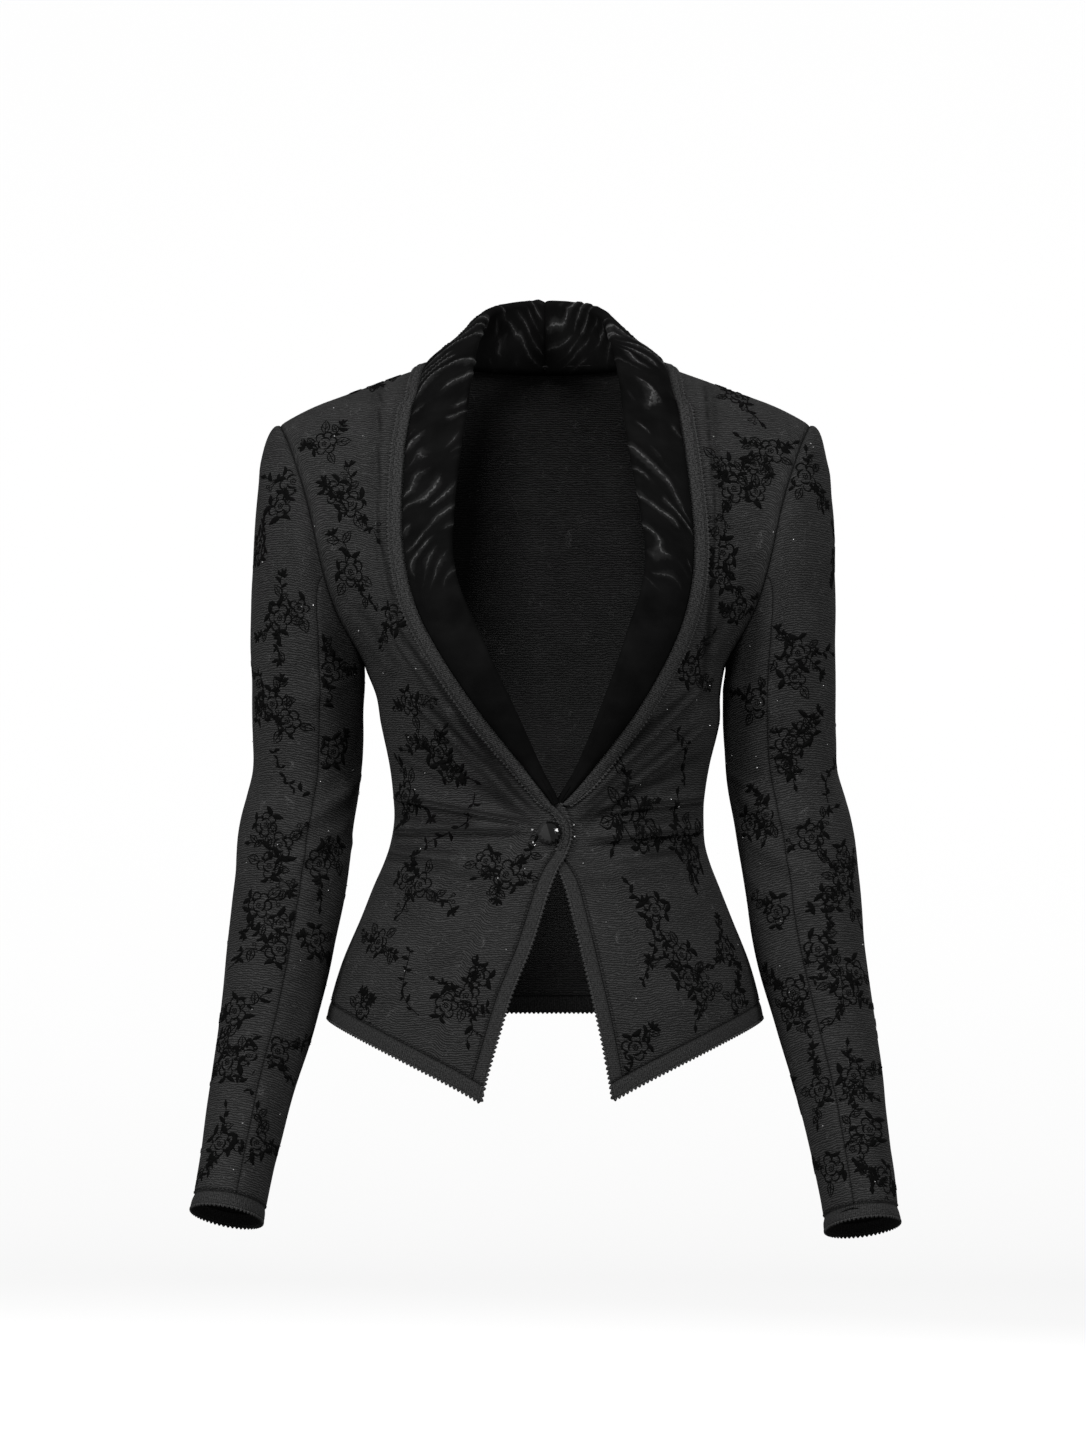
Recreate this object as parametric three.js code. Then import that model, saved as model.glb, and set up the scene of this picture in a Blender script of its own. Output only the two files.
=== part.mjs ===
// Fitted knit jacket with a shawl collar, as it hangs on a general figure.
// Millimetres. +Z is up, the front faces -Y, and the origin is where the neck meets the
// shoulders, on the middle line. "right" is the wearer's right, on the -X side.
import * as THREE from 'three';

// Driving dimensions
const knit = 1.8;            // thickness of the knit panels
const pile = 1.8;            // thickness of the velvet
const seamGap = 0.3;         // space left between two pieces that are sewn together
const layerGap = 1.2;        // air between the collar and the front that it lies on
const shoulderHalf = 208;    // middle line to the top of the armhole
const tipZ = -43;            // height of the top of the armhole
const underarmZ = -234;      // height of the bottom of the armhole
const ridgeY = 4;            // the shoulder seam lies a little behind the middle
const armholeHalfDepth = 56; // front to back, half
const neckHalf = 76;         // middle line to the neck end of the shoulder seam
const neckZ = 9.5;           // height of the neck edge of the back
const shoulderSlope = 0.36;
const bustDepth = 130;
const shoulderBladeDepth = 108;
const bustBuild = 1.21;      // how soon the chest and the back reach those depths on the
const backBuild = 5;         // way down from the shoulder
const ovalPower = 2.2;       // 2 is an ellipse, more is squarer
const foldTopZ = -318;       // the rows are close together between these two heights,
const foldBottomZ = -398;    // where the tucks run
const tipHemZ = -566;        // height of the two front points
const sideHemZ = -507;
const frontBandWidth = 9.5;
const lapelBandWidth = 9.5;
const hemBandWidth = 12.5;
const cuffWidth = 11;
const overlapLift = 3.2;     // how far the right front stands off where it laps over the left

// The body below the armholes, one row for each height.
const bodyRows = [
  { z: -212, half: 147, shift: 0, front: 130.2, back: 108.2 },
  { z: -234, half: 141, shift: 0, front: 130, back: 108 },
  { z: -256, half: 135, shift: 2.5, front: 126.5, back: 106 },
  { z: -277, half: 133, shift: 4, front: 119, back: 101 },
  { z: -311, half: 125.5, shift: 3.5, front: 105.5, back: 91 },
  { z: -337, half: 122, shift: 3, front: 99, back: 85 },
  { z: -354, half: 121.5, shift: 3, front: 99, back: 85 },
  { z: -372, half: 123.5, shift: 2, front: 102, back: 89 },
  { z: -387, half: 128, shift: 1.5, front: 106, back: 94 },
  { z: -405, half: 135.5, shift: 1, front: 110, back: 101 },
  { z: -429, half: 145, shift: 1, front: 116, back: 109 },
  { z: -467, half: 160.5, shift: 0.5, front: 122, back: 117 },
  { z: -507, half: 171, shift: 0, front: 128, back: 122 },
  { z: -566, half: 180, shift: 0, front: 132, back: 125 },
];

// Half width between the armhole seams, by height on the seam.
const armholeRows = [
  { z: -43, half: 208 },
  { z: -58, half: 200.5 },
  { z: -78, half: 193 },
  { z: -100, half: 186 },
  { z: -124, half: 180 },
  { z: -148, half: 175 },
  { z: -171, half: 169 },
  { z: -189, half: 163 },
  { z: -206, half: 155 },
  { z: -219, half: 148 },
  { z: -234, half: 141 },
];

// The opening down the front: its middle line, and half its width. Above the button that is
// the roll line of the collar, below it the edge of the front band. Below zero it overlaps.
const openingRows = [
  { z: 9.5, centre: 0, half: 71 },
  { z: 0, centre: 0, half: 67.5 },
  { z: -12, centre: 0, half: 64 },
  { z: -32, centre: 0, half: 60.5 },
  { z: -68, centre: 0, half: 65 },
  { z: -117, centre: 1.7, half: 72 },
  { z: -145, centre: 3, half: 74 },
  { z: -160, centre: 3.7, half: 73 },
  { z: -175, centre: 4.4, half: 69 },
  { z: -204, centre: 6, half: 58 },
  { z: -229, centre: 7.7, half: 47.5 },
  { z: -256, centre: 9, half: 37 },
  { z: -280, centre: 10, half: 27.3 },
  { z: -306, centre: 10.5, half: 15.5 },
  { z: -330, centre: 10.2, half: 3 },
  { z: -338, centre: 9, half: -2 },
  { z: -348, centre: 8, half: -8 },
  { z: -364, centre: 8, half: -11 },
  { z: -380, centre: 9, half: -5 },
  { z: -387, centre: 9.5, half: 0 },
  { z: -402, centre: 9.8, half: 6.7 },
  { z: -427, centre: 9, half: 14 },
  { z: -450, centre: 8, half: 20.7 },
  { z: -485, centre: 5, half: 32 },
  { z: -519, centre: 3.5, half: 41 },
  { z: -549, centre: 2, half: 48 },
  { z: -566, centre: 1.5, half: 51 },
];

// How far the knit stops short of that edge, under the collar and then beside the band.
const marginRows = [
  { z: 10, margin: 5 },
  { z: -28, margin: 7 },
  { z: -70, margin: 5 },
  { z: -312, margin: 5 },
  { z: -334, margin: 5 },
  { z: -364, margin: 7 },
  { z: -395, margin: frontBandWidth },
  { z: -566, margin: frontBandWidth },
];

// Collar stations up the front from the button: the roll line, the outer edge of the velvet
// and how far the velvet turns inside. Sideways sizes are from the opening's middle line.
const collarRows = [
  { rollX: 3, rollZ: -329, edgeX: 12, edgeZ: -332, turn: 3 },
  { rollX: 15.5, rollZ: -306, edgeX: 26.5, edgeZ: -311, turn: 8 },
  { rollX: 37, rollZ: -256, edgeX: 60, edgeZ: -267, turn: 12 },
  { rollX: 58, rollZ: -204, edgeX: 89, edgeZ: -220, turn: 12 },
  { rollX: 70, rollZ: -172, edgeX: 104, edgeZ: -184, turn: 12 },
  { rollX: 74, rollZ: -143, edgeX: 110.5, edgeZ: -148, turn: 12 },
  { rollX: 71.5, rollZ: -113, edgeX: 111, edgeZ: -113, turn: 12 },
  { rollX: 65, rollZ: -68, edgeX: 107.5, edgeZ: -67, turn: 12 },
  { rollX: 60, rollZ: -32, edgeX: 102.5, edgeZ: -33, turn: 12 },
];

// Round the neck it stands free of the body, so these rows give the depths too, and the
// place of the neck edge that it starts from.
const neckRows = [
  { rollX: 60, rollY: -62, rollZ: -32, edgeX: 102.5, edgeY: -53, edgeZ: -33, neckX: 63.2, neckZ: -32 },
  { rollX: 55.5, rollY: -35, rollZ: 3, edgeX: 96, edgeY: -20, edgeZ: -4, neckX: 70.2, neckZ: -2 },
  { rollX: 51, rollY: -8, rollZ: 27, edgeX: 87, edgeY: 14, edgeZ: 5, neckX: 74.6, neckZ: 9.5 },
  { rollX: 46, rollY: 26, rollZ: 47, edgeX: 72, edgeY: 52, edgeZ: 0, neckX: 64, neckZ: 9.5 },
  { rollX: 27, rollY: 56, rollZ: 57, edgeX: 39, edgeY: 77, edgeZ: -3, neckX: 36, neckZ: 9.5 },
  { rollX: 0, rollY: 66, rollZ: 60, edgeX: 0, edgeY: 85, edgeZ: -4, neckX: 0, neckZ: 9.5 },
];

// Sleeve rings below the armhole: middle, half width across, half depth.
const sleeveRows = {
  right: [
    { x: -186, y: 4, z: -252, across: 44.5, deep: 53 },
    { x: -186.5, y: 6, z: -290, across: 43.5, deep: 51 },
    { x: -188, y: 7, z: -322, across: 43, deep: 50 },
    { x: -195, y: 4, z: -360, across: 44.5, deep: 49 },
    { x: -200, y: -2, z: -402, across: 44, deep: 46.5 },
    { x: -207, y: -11, z: -450, across: 41.5, deep: 43 },
    { x: -216, y: -24, z: -505, across: 37.5, deep: 39.5 },
    { x: -227, y: -38, z: -556, across: 32.5, deep: 37 },
    { x: -234, y: -50, z: -594, across: 30, deep: 35.5 },
    { x: -242.5, y: -66, z: -642, across: 28.5, deep: 34.5 },
    { x: -245, y: -70.5, z: -655, across: 28.8, deep: 34.5 },
  ],
  left: [
    { x: 184, y: 4, z: -252, across: 44.5, deep: 53 },
    { x: 184.5, y: 6, z: -290, across: 44.5, deep: 51 },
    { x: 187, y: 7, z: -322, across: 43.5, deep: 50 },
    { x: 195, y: 4, z: -360, across: 45.5, deep: 49 },
    { x: 201.5, y: -2, z: -402, across: 45, deep: 46.5 },
    { x: 207, y: -11, z: -450, across: 43, deep: 43 },
    { x: 218, y: -24, z: -505, across: 39, deep: 39.5 },
    { x: 228.5, y: -38, z: -556, across: 34.5, deep: 37 },
    { x: 235.5, y: -50, z: -596, across: 31.5, deep: 35.5 },
    { x: 243, y: -66, z: -650, across: 29.2, deep: 34.5 },
    { x: 244.5, y: -70.5, z: -663, across: 29.8, deep: 34.5 },
  ],
};

// Folds of the fronts, each a soft ridge between two points, its height and half width.
// They are given sideways from the body's middle, outwards positive.
const foldRows = {
  right: [
    { name: 'upper tuck', x1: 118, z1: -333, x2: 20, z2: -352, rise: 2.4, spread: 5 },
    { name: 'middle tuck', x1: 119, z1: -364, x2: 22, z2: -360, rise: 2.6, spread: 5 },
    { name: 'lower tuck', x1: 122, z1: -382, x2: 60, z2: -389, rise: 2, spread: 5 },
    { name: 'lapel pleat top', x1: 131, z1: -20, x2: 131, z2: -130, rise: 2.6, spread: 5 },
    { name: 'lapel pleat middle', x1: 131, z1: -130, x2: 112, z2: -214, rise: 2.8, spread: 5 },
    { name: 'lapel pleat low', x1: 112, z1: -214, x2: 36, z2: -322, rise: 3, spread: 6 },
    { name: 'drag fold', x1: 96, z1: -262, x2: 14, z2: -344, rise: 2.2, spread: 6 },
  ],
  left: [
    { name: 'upper tuck', x1: 118, z1: -336, x2: 50, z2: -347, rise: 2.2, spread: 5 },
    { name: 'middle tuck', x1: 120, z1: -363, x2: 50, z2: -369, rise: 2.4, spread: 5 },
    { name: 'lapel pleat top', x1: 127, z1: -20, x2: 134, z2: -120, rise: 2.6, spread: 4.5 },
    { name: 'lapel pleat middle', x1: 134, z1: -120, x2: 128, z2: -205, rise: 2.2, spread: 5 },
    { name: 'lapel fold low', x1: 118, z1: -252, x2: 34, z2: -336, rise: 2.6, spread: 5 },
    { name: 'drag fold', x1: 116, z1: -284, x2: 36, z2: -350, rise: 2.2, spread: 5 },
    { name: 'underarm fold', x1: 136, z1: -170, x2: 126, z2: -250, rise: 2.4, spread: 6 },
  ],
};

const buttonX = 3.4;
const buttonZ = -362;
const buttonRadius = 9.2;
const buttonHeight = 8;

const clothMaterial = new THREE.MeshStandardMaterial({ color: 0x35363a, roughness: 0.92, metalness: 0 });
const bandMaterial = new THREE.MeshStandardMaterial({ color: 0x303134, roughness: 0.9, metalness: 0 });
const velvetMaterial = new THREE.MeshStandardMaterial({ color: 0x08080a, roughness: 0.7, metalness: 0 });
const jetMaterial = new THREE.MeshStandardMaterial({ color: 0x0a0a0c, roughness: 0.15, metalness: 0 });

function mix(a, b, t) {
  return a + (b - a) * t;
}

function smooth(from, to, value) {
  const t = Math.min(1, Math.max(0, (value - from) / (to - from)));
  return t * t * (3 - 2 * t);
}

function even(count, from = 0, to = 1) {
  return Array.from({ length: count + 1 }, (_, i) => mix(from, to, i / count));
}

// A smooth curve through one column of a table, read by another column.
function column(rows, key, value) {
  const sorted = [...rows].sort((a, b) => a[key] - b[key]);
  const at = sorted.map((row) => row[key]);
  const height = sorted.map((row) => row[value]);
  const last = at.length - 1;
  const slope = height.map((_, i) => {
    const a = Math.max(0, i - 1);
    const b = Math.min(last, i + 1);
    return (height[b] - height[a]) / (at[b] - at[a]);
  });
  return (x) => {
    let i = 0;
    while (i < last - 1 && x > at[i + 1]) i += 1;
    const span = at[i + 1] - at[i];
    const t = Math.min(1.2, Math.max(-0.2, (x - at[i]) / span));
    const t2 = t * t;
    const t3 = t2 * t;
    return (2 * t3 - 3 * t2 + 1) * height[i] + (t3 - 2 * t2 + t) * span * slope[i]
      + (3 * t2 - 2 * t3) * height[i + 1] + (t3 - t2) * span * slope[i + 1];
  };
}

const bodyHalf = column(bodyRows, 'z', 'half');
const bodyShift = column(bodyRows, 'z', 'shift');
const bodyFront = column(bodyRows, 'z', 'front');
const bodyBack = column(bodyRows, 'z', 'back');
const armholeHalf = column(armholeRows, 'z', 'half');
const openingCentre = column(openingRows, 'z', 'centre');
const openingHalf = column(openingRows, 'z', 'half');
const openingMargin = column(marginRows, 'z', 'margin');

// Height of the shoulder seam, by distance from the middle line: a slope that rounds over
// near the armhole.
function ridgeZ(x) {
  const roundOver = Math.max(0, (x - 170) / (shoulderHalf - 170));
  return 37 - shoulderSlope * x - 5.2 * roundOver ** 2;
}

// A point on the outside of the body. across runs from 0 at the middle to 1 at the armhole
// or side seam, and below 0 past the middle. level is the height at that seam. Above the
// underarm each row is a chest curve that rises to the shoulder seam, below it a level oval.
function bodyPoint(side, face, across, level) {
  const q = Math.min(1, Math.abs(across));
  const round = Math.sqrt(Math.max(0, 1 - q ** ovalPower));
  if (level <= underarmZ) {
    const depth = face < 0 ? bodyFront(level) : bodyBack(level);
    const x = bodyShift(level) + side * bodyHalf(level) * across;
    return new THREE.Vector3(x, face * depth * round, level);
  }
  const fall = (tipZ - level) / (tipZ - underarmZ);
  const z = mix(ridgeZ(shoulderHalf * q), underarmZ, fall);
  const build = face < 0 ? bustBuild : backBuild;
  const reach = Math.sqrt(Math.max(0, 1 - (1 - fall) ** build));
  const chest = reach * (face < 0 ? bustDepth : shoulderBladeDepth) * round;
  const armhole = armholeHalfDepth * 2 * Math.sqrt(Math.max(0, fall * (1 - fall))) * q;
  const y = mix(ridgeY, 0, fall) + face * Math.cbrt(chest ** 3 + armhole ** 3);
  return new THREE.Vector3(side * armholeHalf(level) * across, y, z);
}

// The level and the share across of a point, from its sideways place and its height.
function locate(side, x, z) {
  if (z <= underarmZ) {
    return { level: z, across: side * (x - bodyShift(z)) / bodyHalf(z) };
  }
  let level = z;
  let across = 0;
  for (let i = 0; i < 12; i += 1) {
    across = Math.min(1, side * x / armholeHalf(level));
    const ridge = ridgeZ(shoulderHalf * Math.abs(across));
    const fall = Math.min(1, Math.max(0, (ridge - z) / (ridge - underarmZ)));
    level = mix(tipZ, underarmZ, fall);
  }
  return { level, across };
}

// The outward direction of the body at a place.
function bodyNormal(side, face, across, level) {
  const step = 0.004;
  const a = bodyPoint(side, face, across - step, level);
  const b = bodyPoint(side, face, Math.min(1, across + step), level);
  const c = bodyPoint(side, face, across, Math.min(tipZ, level + 0.5));
  const d = bodyPoint(side, face, across, level - 0.5);
  const normal = b.sub(a).cross(d.sub(c)).normalize();
  return normal.multiplyScalar(side * face);
}

// Front and back share one direction along the shoulder seam.
function shoulderDirection(side, across) {
  const front = bodyNormal(side, -1, across, tipZ - 0.01);
  return front.add(bodyNormal(side, 1, across, tipZ - 0.01)).normalize();
}

// Height of a soft ridge at a place: a bell across it that fades towards its two ends.
function foldHeight(fold, x, z) {
  const dx = fold.x2 - fold.x1;
  const dz = fold.z2 - fold.z1;
  const length = Math.hypot(dx, dz);
  const along = ((x - fold.x1) * dx + (z - fold.z1) * dz) / (length * length);
  const off = Math.abs((x - fold.x1) * dz - (z - fold.z1) * dx) / length;
  const fade = smooth(-0.12, 0.1, along) * smooth(1.12, 0.9, along);
  return fold.rise * fade * Math.exp(-((off / fold.spread) ** 2));
}

// How far the cloth of a front stands off the body: its folds, none at the seams, and the
// lap of the right front over the left.
function frontLift(side, across, level, x, z) {
  let lift = 0;
  for (const fold of foldRows[side < 0 ? 'right' : 'left']) lift += foldHeight(fold, side * x, z);
  lift *= smooth(1, 0.93, across) * smooth(tipZ, tipZ - 3, level);
  if (side < 0) lift += overlapLift * smooth(-34, -10, x) * smooth(-308, -330, z) * smooth(-440, -400, z);
  return lift;
}

// A point on the outside of a front, moved out by lift.
function frontSurface(side, across, level, lift = 0) {
  const point = bodyPoint(side, -1, across, level);
  const normal = bodyNormal(side, -1, across, level);
  return point.addScaledVector(normal, frontLift(side, across, level, point.x, point.z) + lift);
}

// The same from a sideways place and a height.
function frontPoint(side, x, z, lift = 0) {
  const { level, across } = locate(side, x, z);
  return frontSurface(side, across, level, lift);
}

// Lower edge of the fronts, by distance from the middle: it rises from the points.
function frontHemZ(out) {
  const share = Math.max(0, (out - 48) / 123);
  return mix(tipHemZ, sideHemZ, share ** 0.9);
}

function backHemZ(across) {
  return sideHemZ - 3 * (1 - across * across);
}

// The rows of the panels from the shoulder down: level heights to the tucks, then shares of
// the way from the tucks to the hem band.
const sleeveSteps = 24;
const armholeSteps = sleeveSteps / 2;
const frontSteps = 14;
const chestRows = even(armholeSteps, 0, Math.PI).map((turn) => ({
  level: mix(tipZ, underarmZ, (1 - Math.cos(turn)) / 2),
}));
const waistRows = [
  ...even(6, underarmZ, foldTopZ).slice(1),
  ...even(12, foldTopZ, foldBottomZ).slice(1),
].map((level) => ({ level }));
const skirtRows = even(6).slice(1).map((share) => ({ level: foldBottomZ, share }));
const frontRows = [...chestRows, ...waistRows, ...skirtRows];

// Where a front's grid has a point: place is -1 at the edge of the front band, 0 where the
// knit starts and 1 at the armhole or side seam.
function frontPlace(side, row, place) {
  let across = 0.4;
  let level = row.level;
  for (let i = 0; i < 14; i += 1) {
    const here = bodyPoint(side, -1, across, level);
    const margin = openingMargin(here.z);
    const edge = openingCentre(here.z) + side * (openingHalf(here.z) + margin * Math.min(1, 1 + place));
    const start = locateAcross(side, edge, level);
    const turn = mix(Math.asin(start), Math.PI / 2, Math.max(0, place));
    across = Math.sin(turn);
    if (row.share !== undefined) {
      const hem = frontHemZ(side * here.x) + hemBandWidth;
      level = mix(foldBottomZ, hem, row.share) - (row.below ?? 0);
    }
  }
  return { across, level };
}

function locateAcross(side, x, level) {
  if (level > underarmZ) return Math.min(0.98, side * x / armholeHalf(level));
  return side * (x - bodyShift(level)) / bodyHalf(level);
}

// Moves the named edges of a layer of points back by half the seam gap.
function trimmed(layer, trim) {
  const out = layer.map((row) => row.map((point) => point.clone()));
  const rows = out.length;
  const columns = out[0].length;
  const pull = (row, col, toRow, toCol) => {
    const way = layer[toRow][toCol].clone().sub(layer[row][col]).normalize();
    out[row][col].addScaledVector(way, seamGap / 2);
  };
  for (let col = 0; col < columns; col += 1) {
    if (trim.top) pull(0, col, 1, col);
    if (trim.bottom) pull(rows - 1, col, rows - 2, col);
  }
  for (let row = 0; row < rows; row += 1) {
    if (trim.start) pull(row, 0, row, 1);
    if (trim.end) pull(row, columns - 1, row, columns - 2);
  }
  return out;
}

// A closed wall of cloth between two layers of points. ring joins the last column to the first.
function wallBetween(name, material, outer, inner, ring = false) {
  const rows = outer.length;
  const columns = outer[0].length;
  const positions = [];
  for (const layer of [outer, inner]) {
    for (const row of layer) {
      for (const point of row) positions.push(point.x, point.y, point.z);
    }
  }
  const at = (layer, row, col) => layer * rows * columns + row * columns + (col % columns);
  const faces = [];
  const quad = (a, b, c, d) => faces.push(a, b, c, a, c, d);
  const spans = ring ? columns : columns - 1;
  for (let row = 0; row < rows - 1; row += 1) {
    for (let col = 0; col < spans; col += 1) {
      quad(at(0, row, col), at(0, row + 1, col), at(0, row + 1, col + 1), at(0, row, col + 1));
      quad(at(1, row, col), at(1, row, col + 1), at(1, row + 1, col + 1), at(1, row + 1, col));
    }
  }
  for (let col = 0; col < spans; col += 1) {
    quad(at(0, 0, col), at(0, 0, col + 1), at(1, 0, col + 1), at(1, 0, col));
    const last = rows - 1;
    quad(at(0, last, col), at(1, last, col), at(1, last, col + 1), at(0, last, col + 1));
  }
  if (!ring) {
    for (let row = 0; row < rows - 1; row += 1) {
      quad(at(0, row, 0), at(1, row, 0), at(1, row + 1, 0), at(0, row + 1, 0));
      const last = columns - 1;
      quad(at(0, row, last), at(0, row + 1, last), at(1, row + 1, last), at(1, row, last));
    }
  }
  const geometry = new THREE.BufferGeometry();
  geometry.setAttribute('position', new THREE.Float32BufferAttribute(positions, 3));
  geometry.setIndex(volume(positions, faces) < 0 ? turned(faces) : faces);
  geometry.computeVertexNormals();
  const mesh = new THREE.Mesh(geometry, material);
  mesh.name = name;
  return mesh;
}

function volume(positions, faces) {
  const point = (i) => new THREE.Vector3(positions[3 * i], positions[3 * i + 1], positions[3 * i + 2]);
  let sum = 0;
  for (let i = 0; i < faces.length; i += 3) {
    sum += point(faces[i]).dot(point(faces[i + 1]).cross(point(faces[i + 2]))) / 6;
  }
  return sum;
}

function turned(faces) {
  const out = [];
  for (let i = 0; i < faces.length; i += 3) out.push(faces[i], faces[i + 2], faces[i + 1]);
  return out;
}

// A wall whose outer layer is the grid, with the other layer thick below it.
function wall(name, material, cells, thick, trim, ring = false) {
  const under = cells.points.map((row, i) => row.map((point, j) => {
    const stretch = cells.stretch ? cells.stretch[i][j] : 1;
    return point.clone().addScaledVector(cells.normals[i][j], -thick * stretch);
  }));
  return wallBetween(name, material, trimmed(cells.points, trim), trimmed(under, trim), ring);
}

// The sleeve of one side: around is a full turn from the top of the armhole over the front,
// down runs from 0 at the armhole to 1 at the first ring and one more for each further ring.
function armholePoint(side, angle) {
  const turn = (angle + 2 * Math.PI) % (2 * Math.PI);
  const level = mix(tipZ, underarmZ, (1 - Math.cos(turn)) / 2);
  return bodyPoint(side, turn <= Math.PI ? -1 : 1, 1, level);
}

function sleeveRing(side, turn, ring) {
  const rows = sleeveRows[side < 0 ? 'right' : 'left'];
  const last = rows.length - 1;
  const i = Math.min(last - 1, Math.max(0, Math.floor(ring)));
  const read = (key, at) => {
    const a = rows[Math.max(0, i - 1)][key];
    const b = rows[i][key];
    const c = rows[i + 1][key];
    const d = rows[Math.min(last, i + 2)][key];
    const t = at - i;
    const from = i > 0 ? (c - a) / 2 : c - b;
    const to = i + 2 <= last ? (d - b) / 2 : c - b;
    return (2 * t ** 3 - 3 * t ** 2 + 1) * b + (t ** 3 - 2 * t ** 2 + t) * from
      + (3 * t ** 2 - 2 * t ** 3) * c + (t ** 3 - t ** 2) * to;
  };
  const centre = (at) => new THREE.Vector3(read('x', at), read('y', at), read('z', at));
  const middle = centre(ring);
  const along = centre(ring + 0.01).sub(centre(ring - 0.01)).normalize();
  const sideways = new THREE.Vector3(side, 0, 0);
  sideways.addScaledVector(along, -sideways.dot(along)).normalize();
  const forward = sideways.clone().cross(along).normalize();
  if (forward.y > 0) forward.negate();
  return middle
    .addScaledVector(sideways, read('across', ring) * Math.cos(turn))
    .addScaledVector(forward, read('deep', ring) * Math.sin(turn));
}

// Lengths of the two tangents of the sleeve cap, under the arm and on top of the shoulder.
const capLeave = { under: 8, top: 70 };
const capArrive = { under: 10, top: 200 };

function sleevePoint(side, turn, down) {
  if (down >= 1) return sleeveRing(side, turn, down - 1);
  const top = (1 + Math.cos(turn)) / 2;
  const from = armholePoint(side, turn);
  const to = sleeveRing(side, turn, 0);
  const leave = new THREE.Vector3(
    side * (0.25 + 0.75 * top ** 0.4),
    -0.5 * Math.sin(turn),
    mix(-1, 0.12, top ** 0.8),
  ).normalize().multiplyScalar(mix(capLeave.under, capLeave.top, Math.sqrt(top)));
  const arrive = sleeveRing(side, turn, 0.05).sub(to).normalize()
    .multiplyScalar(mix(capArrive.under, capArrive.top, Math.sqrt(top)));
  const t = down;
  return from.multiplyScalar(2 * t ** 3 - 3 * t ** 2 + 1)
    .addScaledVector(leave, t ** 3 - 2 * t ** 2 + t)
    .addScaledVector(to, 3 * t ** 2 - 2 * t ** 3)
    .addScaledVector(arrive, t ** 3 - t ** 2);
}

function sleeveNormal(side, turn, down) {
  const step = 0.01;
  const low = Math.max(0, down - step);
  const a = sleevePoint(side, turn - step, down);
  const b = sleevePoint(side, turn + step, down);
  const c = sleevePoint(side, turn, low);
  const d = sleevePoint(side, turn, low + 2 * step);
  return b.sub(a).cross(d.sub(c)).normalize().multiplyScalar(side);
}

// Body and sleeve share one direction where they meet, so that their edges face each other.
function armholeDirection(side, turn) {
  const face = turn <= Math.PI ? -1 : 1;
  const level = mix(tipZ, underarmZ, (1 - Math.cos(turn)) / 2);
  const body = bodyNormal(side, face, 1, level);
  const sleeve = sleeveNormal(side, turn, 0);
  const direction = body.clone().add(sleeve).normalize();
  return { direction, stretch: Math.min(1.3, 1 / Math.max(0.1, direction.dot(body))) };
}

// Outward directions of a grid from its own points. towards is roughly outwards.
const forwards = new THREE.Vector3(0, -1, 0);
const backwards = new THREE.Vector3(0, 1, 0);

function gridNormals(points, towards) {
  const rows = points.length;
  const columns = points[0].length;
  let sum = 0;
  const normals = points.map((line, i) => line.map((point, j) => {
    const a = points[Math.max(0, i - 1)][j];
    const b = points[Math.min(rows - 1, i + 1)][j];
    const c = line[Math.max(0, j - 1)];
    const d = line[Math.min(columns - 1, j + 1)];
    const normal = b.clone().sub(a).cross(d.clone().sub(c)).normalize();
    sum += normal.dot(towards);
    return normal;
  }));
  if (sum < 0) normals.flat().forEach((normal) => normal.negate());
  return normals;
}

function armholeTurn(level, face) {
  const turn = Math.acos(1 - 2 * (tipZ - level) / (tipZ - underarmZ));
  return face < 0 ? turn : 2 * Math.PI - turn;
}

// Sets the outward directions along the shoulder, armhole and side seams of a panel.
function setSeams(cells, side, face, rows, column) {
  cells.stretch = cells.points.map((line) => line.map(() => 1));
  rows.forEach((row, i) => {
    if (row.share === undefined && row.level >= underarmZ) {
      const { direction, stretch } = armholeDirection(side, armholeTurn(row.level, face));
      cells.normals[i][column] = direction;
      cells.stretch[i][column] = stretch;
    } else {
      cells.normals[i][column] = new THREE.Vector3(side, 0, 0);
    }
  });
}

function frontPanel(side) {
  const places = even(frontSteps);
  const points = frontRows.map((row) => places.map((place) => {
    const { across, level } = frontPlace(side, row, place);
    return frontSurface(side, across, level);
  }));
  const cells = { points, normals: gridNormals(points, forwards) };
  places.forEach((place, j) => {
    cells.normals[0][j] = shoulderDirection(side, frontPlace(side, frontRows[0], place).across);
  });
  setSeams(cells, side, -1, frontRows, places.length - 1);
  const trim = { top: true, bottom: true, start: true, end: true };
  return wall(`front_${sideName(side)}`, clothMaterial, cells, knit, trim);
}

function sideName(side) {
  return side < 0 ? 'right' : 'left';
}

// The ribbed band down the front edge, from the button to the hem band.
const bandTopZ = -336;

function frontBand(side) {
  const rows = frontRows.filter((row) => row.level < bandTopZ);
  const points = rows.map((row) => even(2, -1, 0).map((place) => {
    const { across, level } = frontPlace(side, row, place);
    return frontSurface(side, across, level);
  }));
  const cells = { points, normals: gridNormals(points, forwards) };
  const trim = { bottom: true, end: true };
  return wall(`front_band_${sideName(side)}`, bandMaterial, cells, knit, trim);
}

function frontHemBand(side) {
  const rows = even(2).map((share) => ({ level: foldBottomZ, share: 1, below: share * hemBandWidth }));
  const places = [...even(2, -1, 0), ...even(frontSteps).slice(1)];
  const points = rows.map((row) => places.map((place) => {
    const { across, level } = frontPlace(side, row, place);
    return frontSurface(side, across, level);
  }));
  const cells = { points, normals: gridNormals(points, forwards) };
  for (const line of cells.normals) line[places.length - 1] = new THREE.Vector3(side, 0, 0);
  return wall(`hem_band_front_${sideName(side)}`, bandMaterial, cells, knit, { top: true, end: true });
}

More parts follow.
